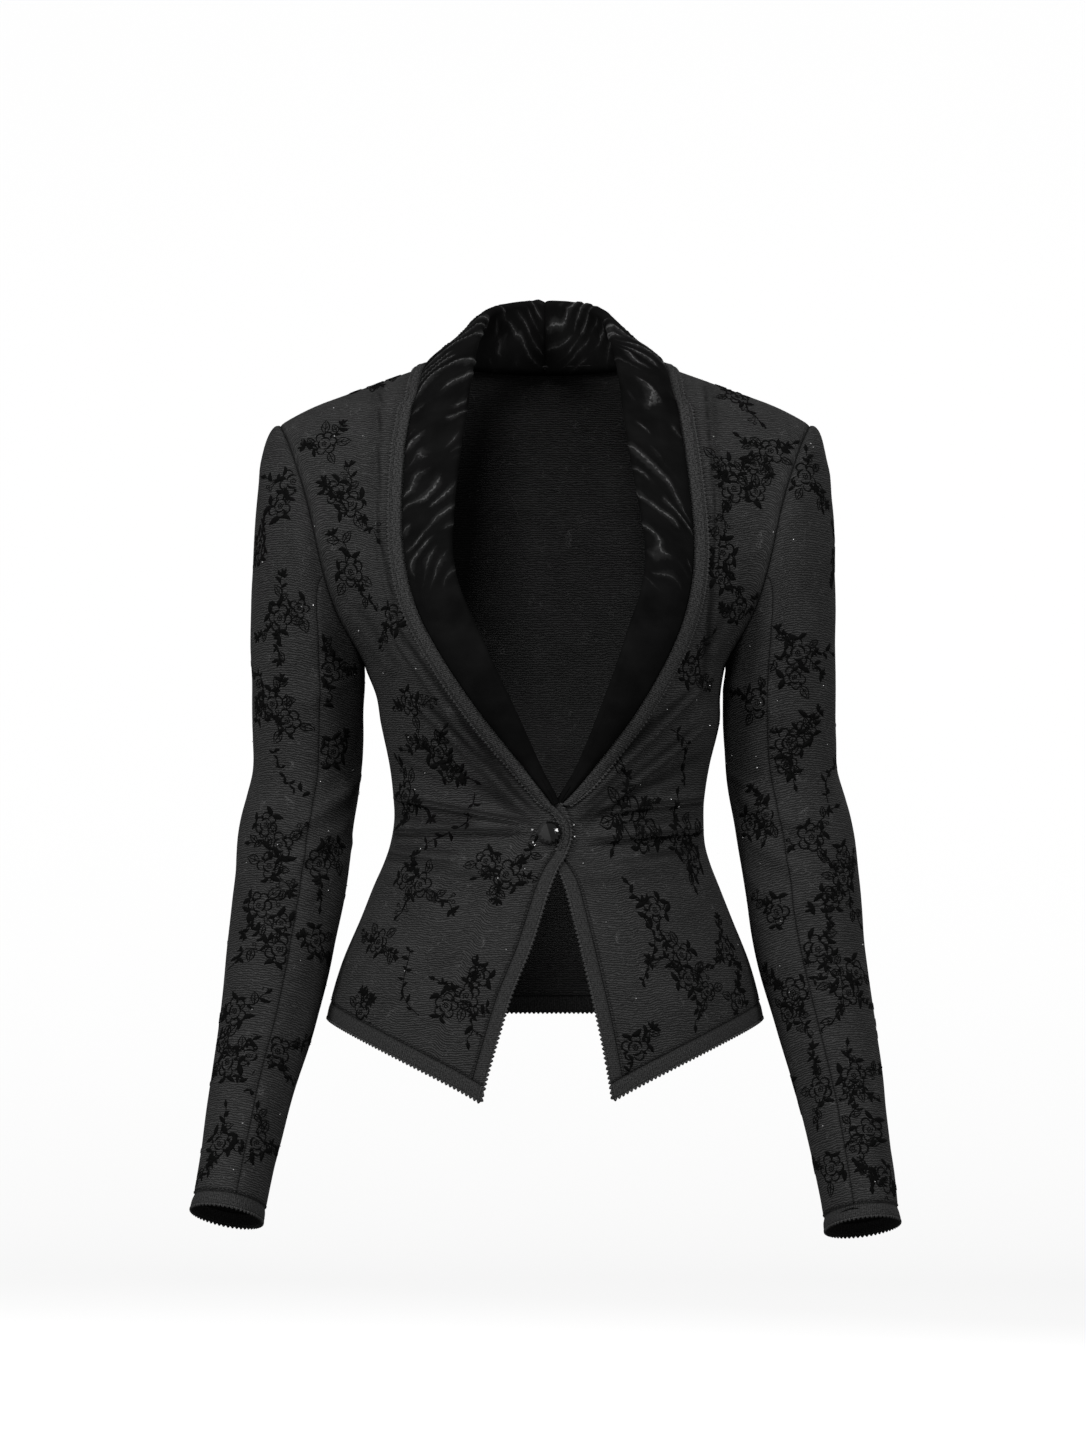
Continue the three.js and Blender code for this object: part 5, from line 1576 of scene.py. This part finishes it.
def tapered(width, t=fine):
    return width * (0.4 + 0.6 * np.sin(np.pi * t))


# An open arc about a centre.
def arc(x, y, radius, start, sweep, width):
    angle = start + sweep * fine
    return stroke(x + radius * np.cos(angle), y + radius * np.sin(angle), tapered(width))


# Strokes moved, turned and scaled together.
def placed(parts, x, y, turn=0.0, size=1.0):
    c, s = math.cos(turn), math.sin(turn)
    moved = []
    for part in parts:
        px, py, width = part.T
        newX, newY = x + size * (px * c - py * s), y + size * (px * s + py * c)
        moved.append(stroke(newX, newY, width * (0.5 + 0.5 * size)))
    return moved


# An open rose: a spiral heart, three thick crescents round it, lobes with curled outlines, and
# dark wedges between them.
def rose(random, size):
    angle = random.uniform(0, 6) + fine * 3.1 * np.pi
    reach = mix(0.3, 2.5, fine)
    parts = [stroke(reach * np.cos(angle), reach * np.sin(angle), 1.15)]
    first = random.uniform(0, 6)
    for crescent in range(3):
        way = first + crescent * 2.1 + random.uniform(-0.2, 0.2)
        parts.append(arc(0.5 * math.cos(way), 0.5 * math.sin(way), 3.9, way - 0.95, 1.9, 2.1))
    lobes = int(random.integers(5, 7))
    for lobe in range(lobes):
        way = first + lobe * 2 * np.pi / lobes + random.uniform(-0.15, 0.15)
        far = random.uniform(5.2, 6.1)
        curl = random.uniform(3.6, 4.5)
        parts.append(arc(far * math.cos(way), far * math.sin(way), 3.1, way - curl / 2, curl, 1.7))
        between = way + np.pi / lobes
        along = mix(5.0, random.uniform(7.6, 9.4), short)
        if lobe % 2 == 0:
            wedge = 0.3 + 2.5 * np.sin(np.pi * short ** 0.8)
            parts.append(stroke(along * math.cos(between), along * math.sin(between), wedge))
    return placed(parts, 0, 0, 0, size)


# A filled leaf along +x, one stroke as wide as the leaf.
def filledLeaf(random, length):
    belly = length * random.uniform(0.42, 0.56)
    bend = random.uniform(-0.16, 0.16) * length
    width = 0.5 + belly * np.sin(np.pi * short ** 0.9) ** 0.75
    return [stroke(length * short, bend * np.sin(np.pi * short), width)]


# An outlined leaf: two curved sides, a midrib and two short veins.
def veinedLeaf(random, length):
    belly = length * random.uniform(0.25, 0.32)
    bulge = belly * np.sin(np.pi * fine ** 0.85)
    parts = [stroke(length * fine, way * bulge, tapered(1.5)) for way in (-1, 1)]
    parts.append(stroke(length * 0.82 * short, 0 * short, 1.15))
    for way in (-1, 1):
        parts.append(stroke(length * (0.3 + 0.22 * short), way * belly * 0.62 * short, 0.8))
    return parts


# A fan of small filled leaves.
def cluster(random, count, size):
    parts = []
    for number in range(count):
        way = mix(-1.15, 1.15, number / max(1, count - 1)) + random.uniform(-0.15, 0.15)
        parts += placed(filledLeaf(random, size * random.uniform(0.8, 1.2)), 0, 0, way)
    return parts


# Berries: small rings on bent stalks.
def berries(random, count):
    parts = []
    for number in range(count):
        way = mix(-0.8, 0.8, (number + 0.5) / count) + random.uniform(-0.2, 0.2)
        reach = random.uniform(3.5, 6.5)
        parts += placed([stroke(reach * short, 0.7 * np.sin(np.pi * short), 0.75),
                         arc(reach + 1.5, 0, 1.35, np.pi, 6.0, 1.15)], 0, 0, way)
    return parts


# A bud: a filled drop between two curled sepals, on a short stalk.
def bud(random, size):
    drop = stroke(2.5 + 6.5 * short, 0 * short, 0.6 + 3.4 * np.sin(np.pi * short ** 0.7))
    left = arc(3.4, 2.2, 2.6, -2.4, 2.3, 1.1)
    right = arc(3.4, -2.2, 2.6, 2.4, -2.3, 1.1)
    return placed([drop, left, right, stroke(3.0 * short, 0 * short, 0.9)], 0, 0, 0, size)


# A stem: a bent line with a slight wave. Leaves, berries and fans leave it on both sides, and
# it ends in a bud, a fan or a hook.
def stem(random, length):
    bow = random.uniform(-0.26, 0.26) * length
    x = length * fine
    y = bow * np.sin(np.pi * fine * 0.9) + 0.05 * length * np.sin(3 * np.pi * fine)
    parts = [stroke(x, y, 1.5 - 0.5 * fine)]
    twigs = 3 + int(length > 24) + int(length > 34)
    for number in range(twigs):
        at = min(len(fine) - 2, 2 + int(number * 6 / twigs))
        lean = (1 if number % 2 else -1) * random.uniform(0.6, 1.2)
        choice = random.random()
        if choice < 0.34:
            made = cluster(random, 3, 5.4)
        elif choice < 0.62:
            made = veinedLeaf(random, random.uniform(8, 11))
        elif choice < 0.84:
            made = filledLeaf(random, random.uniform(6, 9)) + filledLeaf(random, 5)
        else:
            made = berries(random, 2)
        parts += placed(made, x[at], y[at], lean)
    ending = random.random()
    if ending < 0.4:
        made = bud(random, random.uniform(0.85, 1.1))
    elif ending < 0.75:
        made = cluster(random, 4, 6.0)
    else:
        made = [arc(2.2, 1.6, 2.0, -2.2, 4.6, 1.1)] + filledLeaf(random, 6)
    return parts + placed(made, x[-1], y[-1], random.uniform(-0.4, 0.4))


# A spray: roses side by side, leaves that look out from under them, and bent stems.
def spray(seed, reach, roses):
    random = np.random.default_rng(seed)
    parts = []
    lean = random.uniform(0, 2 * np.pi)
    for bloom in range(roses):
        way = lean + bloom * 2.3 + random.uniform(-0.3, 0.3)
        far = 0 if bloom == 0 else random.uniform(17.0, 21.0)
        x, y = far * math.cos(way), far * math.sin(way)
        size = random.uniform(1.1, 1.4) if bloom == 0 else random.uniform(0.85, 1.2)
        parts += placed(rose(random, size), x, y)
        around = 4 if bloom == 0 else 3
        for number in range(around):
            side = way + number * 2 * np.pi / around + random.uniform(0.2, 0.9)
            near = 8.0 * size
            veined = random.random() < 0.4
            made = veinedLeaf(random, random.uniform(10, 13)) if veined else cluster(random, 2, 8.5)
            parts += placed(made, x + near * math.cos(side), y + near * math.sin(side), side)
    stems = int(random.integers(2, 4)) + int(roses > 1)
    for number in range(stems):
        way = lean + 1.1 + number * 2 * np.pi / stems + random.uniform(-0.75, 0.75)
        start = random.uniform(6.0, 8.0)
        made = stem(random, reach * random.uniform(0.5, 1.1) - 3)
        parts += placed(made, start * math.cos(way), start * math.sin(way), way)
    return parts


# A long thin twig with small leaves in turn on both sides.
def twig(seed, length):
    random = np.random.default_rng(seed)
    x = length * (fine - 0.5)
    y = 0.16 * length * np.sin(np.pi * fine * 1.3)
    parts = [stroke(x, y, 1.1)]
    for at in range(1, len(fine)):
        way = (1 if at % 2 else -1) * random.uniform(0.7, 1.2)
        made = cluster(random, 2, 5.2) if random.random() < 0.5 else filledLeaf(random, random.uniform(5, 8))
        parts += placed(made, x[at], y[at], way)
    return parts


# Where the sprays lie: sideways place, height, reach in mm and number of roses, by panel.
# No roses means a twig of that length.
sprayPlaces = {
    "front_right": [
        (-138, -2, 26, 2), (-172, -60, 24, 1), (-150, -108, 30, 2), (-150, -160, 28, 1),
        (-118, -196, 24, 1), (-104, -262, 22, 1), (-82, -300, 32, 2), (-108, -334, 26, 1),
        (-70, -352, 34, 0), (-30, -392, 28, 2), (-96, -402, 34, 2), (-128, -446, 28, 1), (-60, -486, 32, 3),
        (-104, -478, 30, 0), (-142, -500, 22, 1),
    ],
    "front_left": [
        (150, -22, 24, 1), (176, -66, 28, 2), (146, -96, 32, 3), (138, -146, 30, 2), (150, -190, 24, 1),
        (112, -236, 26, 1), (104, -300, 26, 0), (62, -346, 30, 2), (104, -366, 34, 2), (84, -420, 30, 1),
        (140, -452, 28, 1), (110, -474, 30, 3), (78, -448, 30, 0), (68, -524, 22, 1), (150, -492, 22, 1),
    ],
    "sleeve_upper_right": [
        (-196, -90, 30, 2), (-222, -140, 26, 1), (-206, -196, 30, 2), (-212, -262, 30, 3),
        (-196, -318, 28, 0), (-206, -372, 36, 3), (-222, -418, 28, 1), (-206, -452, 34, 2),
        (-240, -500, 26, 1), (-246, -540, 34, 3), (-250, -600, 30, 2),
    ],
    "sleeve_under_right": [
        (-168, -236, 26, 2), (-164, -300, 24, 1), (-176, -386, 28, 2), (-178, -446, 26, 1),
        (-206, -530, 28, 2), (-222, -600, 22, 1),
    ],
    "sleeve_upper_left": [
        (202, -86, 28, 2), (226, -150, 28, 1), (196, -222, 32, 2), (190, -292, 32, 3), (224, -322, 24, 0),
        (206, -366, 28, 1), (232, -398, 32, 3), (212, -452, 26, 1), (234, -486, 32, 2), (238, -548, 32, 2),
        (236, -604, 32, 3), (262, -628, 22, 1),
    ],
    "sleeve_under_left": [
        (164, -262, 24, 1), (172, -348, 28, 2), (180, -424, 26, 1), (192, -486, 28, 2), (212, -560, 26, 1),
        (220, -620, 20, 1),
    ],
}

# Sprays on the back, and on the rear half of the sleeves.
rearPlaces = {
    "back": [
        (-150, -40, 30, 2), (-92, -26, 26, 1), (-30, -44, 32, 3), (46, -30, 28, 1), (112, -50, 32, 2),
        (168, -96, 26, 1), (-170, -112, 28, 1), (-112, -108, 34, 3), (-50, -120, 28, 0), (18, -112, 32, 2),
        (82, -124, 30, 1), (138, -160, 30, 2), (-142, -178, 28, 1), (-84, -186, 30, 2), (-20, -190, 28, 1),
        (44, -200, 32, 3), (102, -222, 26, 0), (-118, -246, 28, 2), (-56, -262, 30, 1), (6, -268, 30, 2),
        (68, -282, 28, 1), (-96, -312, 28, 1), (-28, -332, 30, 2), (40, -346, 30, 1), (96, -322, 26, 1),
        (-84, -382, 30, 2), (-14, -400, 30, 1), (60, -404, 30, 2), (112, -420, 28, 1), (-128, -424, 28, 1),
        (-64, -452, 30, 3), (6, -462, 30, 2), (76, -468, 28, 1), (138, -478, 24, 1), (-120, -480, 22, 1),
        (34, -486, 22, 0),
    ],
    "sleeve_upper_right": [
        (-214, -120, 28, 2), (-206, -210, 30, 2), (-220, -300, 30, 3), (-212, -390, 30, 1),
        (-232, -460, 28, 2), (-240, -560, 28, 2), (-256, -620, 24, 1),
    ],
    "sleeve_under_right": [
        (-164, -270, 26, 1), (-176, -420, 26, 2), (-204, -560, 24, 1),
    ],
    "sleeve_upper_left": [
        (212, -110, 28, 1), (208, -190, 30, 3), (218, -280, 28, 1), (214, -370, 30, 2), (232, -450, 28, 1),
        (244, -540, 30, 2), (256, -610, 24, 1),
    ],
    "sleeve_under_left": [
        (164, -290, 26, 2), (178, -410, 26, 1), (206, -570, 24, 2),
    ],
}


# Reads a grid of vectors between its points, by row and column as real numbers.
def gridRead(field, row, column):
    i = np.clip(np.floor(row).astype(int), 0, field.shape[0] - 2)
    j = np.clip(np.floor(column).astype(int), 0, field.shape[1] - 2)
    s, t = (row - i)[..., None], (column - j)[..., None]
    return mix(mix(field[i, j], field[i + 1, j], s), mix(field[i, j + 1], field[i + 1, j + 1], s), t)


# Lays flat strokes on a panel: at the anchor, millimetres are turned into rows and columns by
# the inverse of the grid's two step vectors, then each point is moved by what it still misses
# of its place. The strokes that pass an edge are left out.
def layStrokes(patch, anchor, face, strokes, turn):
    if not len(strokes):
        return np.zeros((0, 2, 4, 3))
    points, normals = patch["points"], patch["normals"]
    turnedAway = normals[..., 1] * face < 0
    gap = np.hypot(points[..., 0] - anchor[0], points[..., 2] - anchor[1]) + 1e3 * turnedAway
    i, j = np.unravel_index(np.argmin(gap), gap.shape)
    i, j = min(max(i, 1), gap.shape[0] - 2), min(max(j, 1), gap.shape[1] - 2)
    down = (points[i + 1, j] - points[i - 1, j]) / 2
    across = (points[i, j + 1] - points[i, j - 1]) / 2
    e1 = unit(across)
    e2 = unit(np.cross(normals[i, j], e1))
    grid = np.linalg.inv(np.array([[down @ e1, across @ e1], [down @ e2, across @ e2]]))
    path, width = strokes[..., :2], strokes[..., 2] * flockLook["weight"]
    c, s = math.cos(turn), math.sin(turn)
    path = path @ np.array([[c, s], [-s, c]])
    way = unit(np.gradient(path, axis=1))
    aside = np.stack([-way[..., 1], way[..., 0]], -1)
    half = width[..., None] / 2
    top = np.maximum(half - flockLook["bevel"], half * 0.35)
    flat = np.stack([path - aside * half, path - aside * top, path + aside * top, path + aside * half], 2)
    place = flat @ grid.T + np.array([i, j])
    for _ in range(5):
        here = gridRead(points, place[..., 0], place[..., 1]) - points[i, j]
        miss = flat - np.stack([here @ e1, here @ e2], -1)
        place = np.clip(place + miss @ grid.T, -9, max(gap.shape) + 9)
    row, column = place[..., 0], place[..., 1]
    inside = np.abs(miss).max(-1) < 1.0
    for at, count in ((row, gap.shape[0]), (column, gap.shape[1])):
        inside = inside & (at > 0.4) & (at < count - 1.4)
    keep = inside.all((1, 2))
    row, column = row[keep], column[keep]
    height = np.array([-flockLook["sunk"], flockLook["rise"], flockLook["rise"], -flockLook["sunk"]])
    return gridRead(points, row, column) + unit(gridRead(normals, row, column)) * height[:, None]


def buildFlock():
    total = 0
    for name, patch in patches.items():
        listed = [(face, place) for face, places in ((-1, sprayPlaces), (1, rearPlaces))
                  for place in places.get(name, [])]
        meshes = {}
        for number, (face, (x, z, reach, roses)) in enumerate(listed):
            seed = 100 * len(name) + 7 * number + (1 if "left" in name else 0)
            parts = spray(seed, reach, roses) if roses else twig(seed, reach * 1.7)
            half = "_lower" if name == "back" and z < -250 else ""
            for stations in (len(fine), len(short)):
                strokes = np.array([part for part in parts if len(part) == stations])
                rails = layStrokes(patch, (x, z), face, strokes, 0.9 * number)
                meshes.setdefault(half, {}).setdefault(stations, []).append(rails)
        for half, groups in meshes.items():
            made = [stripMesh(np.concatenate(rails)) for rails in groups.values() if rails]
            points, quads, _ = joined([(point, quad, quad) for point, quad in made])
            addMesh(f"{name}_flock{half}", points, quads, flockMaterial)
            total += 2 * len(quads)
            print("flock", name, half, 2 * len(quads))
    print("flock triangles", total)


# A jet button: rings of flat facets between a round girdle and a point at the middle of its
# top, each ring turned by half a facet against the last.
def buildButton():
    points, normals = frontPoint(-1, [buttonLook["x"]], [buttonLook["z"]], cut["seamGap"])
    origin, normal = points[0], normals[0]
    e1 = unit(np.cross(np.array([0, 0, 1.0]), normal))
    e2 = np.cross(normal, e1)
    sides, radius, height = buttonLook["sides"], buttonLook["radius"], buttonLook["height"]
    dome = [(share, height * rise) for share, rise in buttonLook["dome"]]
    profile = [(0.84, 0.0), (0.97, 0.9), (1.0, 1.9)] + dome
    rings = []
    for number, (share, rise) in enumerate(profile):
        angle = (np.arange(sides) + (number % 2) * 0.5) * 2 * np.pi / sides
        x, y = share * radius * np.cos(angle), share * radius * np.sin(angle)
        rings.append(np.stack([x, y, rise + 0 * angle], -1))
    local = np.concatenate(rings + [np.array([[0, 0, 0.0], [0, 0, height]])])
    faces = []
    foot, table = len(local) - 2, len(local) - 1
    for number in range(len(profile) - 1):
        low, high = number * sides, (number + 1) * sides
        for k in range(sides):
            n = (k + 1) % sides
            if number % 2 == 0:
                faces += [(low + k, low + n, high + k), (low + n, high + n, high + k)]
            else:
                faces += [(low + k, low + n, high + n), (low + k, high + n, high + k)]
    last = (len(profile) - 1) * sides
    for k in range(sides):
        n = (k + 1) % sides
        faces += [(k, foot, n), (last + k, last + n, table)]
    world = origin + local[:, :1] * e1 + local[:, 1:2] * e2 + local[:, 2:] * normal
    mesh = bpy.data.meshes.new("button_jet")
    mesh.from_pydata((world * millimetre).tolist(), [], faces)
    mesh.materials.append(jetMaterial)
    made = placeObject("button_jet", mesh)
    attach(made, "root")
    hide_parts("button")
    return origin, e1, e2, normal


beadLook = {
    "radius": 0.55, "count": 150, "stand": 0.6,                              # mm off the front
    "beside": ((-13.0, 1.8, 0.9), (-12.4, -8.2, 0.9), (-11.2, -10.4, 0.7),   # across and up from the
               (18.5, 6.0, 0.8), (19.0, -3.0, 0.9)),                         # button, and radius
}


# Small beads: one eight-sided ball for each, its poles along the way out of the cloth.
def beadMesh(centres, normals, radius):
    e1 = unit(np.cross(normals, np.array([0.3, 0.1, 1.0])))
    e2 = np.cross(normals, e1)
    angle = np.arange(8) * np.pi / 4
    tilt = np.array([-1.2, -0.45, 0.45, 1.2])
    ring = np.stack([np.cos(tilt)[:, None] * np.cos(angle), np.cos(tilt)[:, None] * np.sin(angle),
                     np.sin(tilt)[:, None] + 0 * angle], -1).reshape(-1, 3)
    local = radius[:, None, None] * ring
    points = (centres[:, None] + local[..., :1] * e1[:, None] + local[..., 1:2] * e2[:, None]
              + local[..., 2:] * normals[:, None])
    caps = [[3, 2, 1, 0], [7, 6, 5, 4], [4, 3, 0, 7], [24, 25, 26, 27], [28, 29, 30, 31], [31, 24, 27, 28]]
    quads = np.concatenate([ringQuads(4, 8)[:, [0, 3, 2, 1]], caps])
    first = len(ring) * np.arange(len(centres))[:, None, None]
    return points.reshape(-1, 3), (quads + first).reshape(-1, 4)


# Beads strewn over the panels, and a few larger ones set round the button.
def buildBeads(origin, e1, e2, normal):
    random = np.random.default_rng(17)
    centres, outs, sizes = [], [], []
    for name, patch in patches.items():
        points, normals = patch["points"], patch["normals"]
        count = beadLook["count"] * (2 if name == "back" else 1) // 8
        i = random.integers(3, points.shape[0] - 3, count)
        j = random.integers(3, points.shape[1] - 3, count)
        centres.append(points[i, j] + normals[i, j] * 0.25)
        outs.append(normals[i, j])
        sizes.append(beadLook["radius"] * random.uniform(0.7, 1.1, count))
    for x, y, size in beadLook["beside"]:
        side = -1 if x < 10 else 1
        seen = origin + e1 * x + e2 * y
        centre, out = frontPoint(side, seen[:1], seen[2:], beadLook["stand"])
        centres.append(centre)
        outs.append(out)
        sizes.append(np.array([size]))
    points, quads = beadMesh(np.concatenate(centres), unit(np.concatenate(outs)), np.concatenate(sizes))
    addMesh("small_beads", points, quads, beadMaterial)


buildFronts()
print("fronts made")
buildFrontBands()
buildBack()
print("back and bands made")
buildSleeves()
print("sleeves made")
buildCollars()
print("collar made")
buildPicots()
buildStitches()
buildFlock()
placeOfButton = buildButton()
buildBeads(*placeOfButton)
print("trim made")


stageLook = {"floorZ": -1.42, "radius": 9.0, "rise": 7.0, "curve": 2.5, "sides": 96}


# A round studio: a flat floor that bends up into a wall, turned about the vertical.
def buildStage():
    curve90 = np.linspace(0, np.pi / 2, 24)
    radius, bend = stageLook["radius"], stageLook["curve"]
    reach = np.concatenate([[0.02, 2.0, 4.0], radius - bend + bend * np.sin(curve90), [radius]])
    height = np.concatenate([[0, 0, 0], bend - bend * np.cos(curve90), [stageLook["rise"]]])
    sides = stageLook["sides"]
    angle = np.linspace(0, 2 * np.pi, sides, endpoint=False)
    points = np.stack([reach[:, None] * np.cos(angle), reach[:, None] * np.sin(angle),
                       stageLook["floorZ"] + height[:, None] + 0 * angle], -1)
    faces = ringQuads(len(reach), sides).tolist() + [list(range(sides))]
    mesh = bpy.data.meshes.new("studio")
    mesh.from_pydata(points.reshape(-1, 3).tolist(), [], faces)
    mesh.polygons.foreach_set("use_smooth", np.ones(len(mesh.polygons), bool))
    mesh.materials.append(backdropMaterial)
    studio = placeObject("studio", mesh)
    studio.visible_diffuse = False   # so that its white doesn't wash out the folds
    studio.visible_glossy = False    # nor the shine of the jet


# A soft square light that looks at the middle of the jacket. Where it isn't mirrored, the
# polished button shows no glint of it.
def softLight(name, place, size, power, mirrored):
    light = bpy.data.lights.new(name, "AREA")
    light.shape, light.size, light.energy = "SQUARE", size, power
    made = placeObject(name, light)
    made.location = place
    made.visible_glossy = mirrored
    way = np.array([0, 0, -0.3]) - np.array(place)
    pitch = math.atan2(math.hypot(way[0], way[1]), -way[2])
    made.rotation_euler = (pitch, 0, math.atan2(-way[0], way[1]))


# Place and size in metres, watts, and whether it is mirrored.
lightLook = {
    "leftLight": ((-2.9, -2.4, 1.1), 1.2, 128.0, False),
    "rightLight": ((2.9, -2.4, 1.3), 1.2, 96.0, True),
    "frontLight": ((-0.5, -3.0, 2.4), 1.0, 100.0, False),
    "rearLight": ((1.5, 3.1, 1.9), 1.6, 170.0, False),
}
airStrength = 0.25


def buildLight():
    for name, (place, size, power, mirrored) in lightLook.items():
        softLight(name, place, size, power, mirrored)
    world = bpy.data.worlds.new("studioAir")
    world.use_nodes = True
    background = world.node_tree.nodes["Background"]
    background.inputs["Color"].default_value = (1, 1, 1, 1)
    background.inputs["Strength"].default_value = airStrength
    bpy.context.scene.world = world


# The camera stands level, four metres in front, on a long lens, as the picture was taken.
cameraLook = {"place": (-0.0016, -4.0, -0.278), "lens": 168.9}


def buildCamera():
    lens = bpy.data.cameras.new("longLens")
    lens.sensor_fit = "HORIZONTAL"
    lens.sensor_width = 36.0
    lens.lens = cameraLook["lens"]
    lens.clip_end = 60.0
    made = placeObject("longLens", lens)
    made.location = cameraLook["place"]
    made.rotation_euler = (math.pi / 2, 0, 0)
    bpy.context.scene.camera = made


buildStage()
buildLight()
buildCamera()
bpy.context.scene.view_settings.view_transform = "Standard"
print("studio made")

for node, (width, length, area) in flatSizes.items():
    print("cut", node, width, length, area)
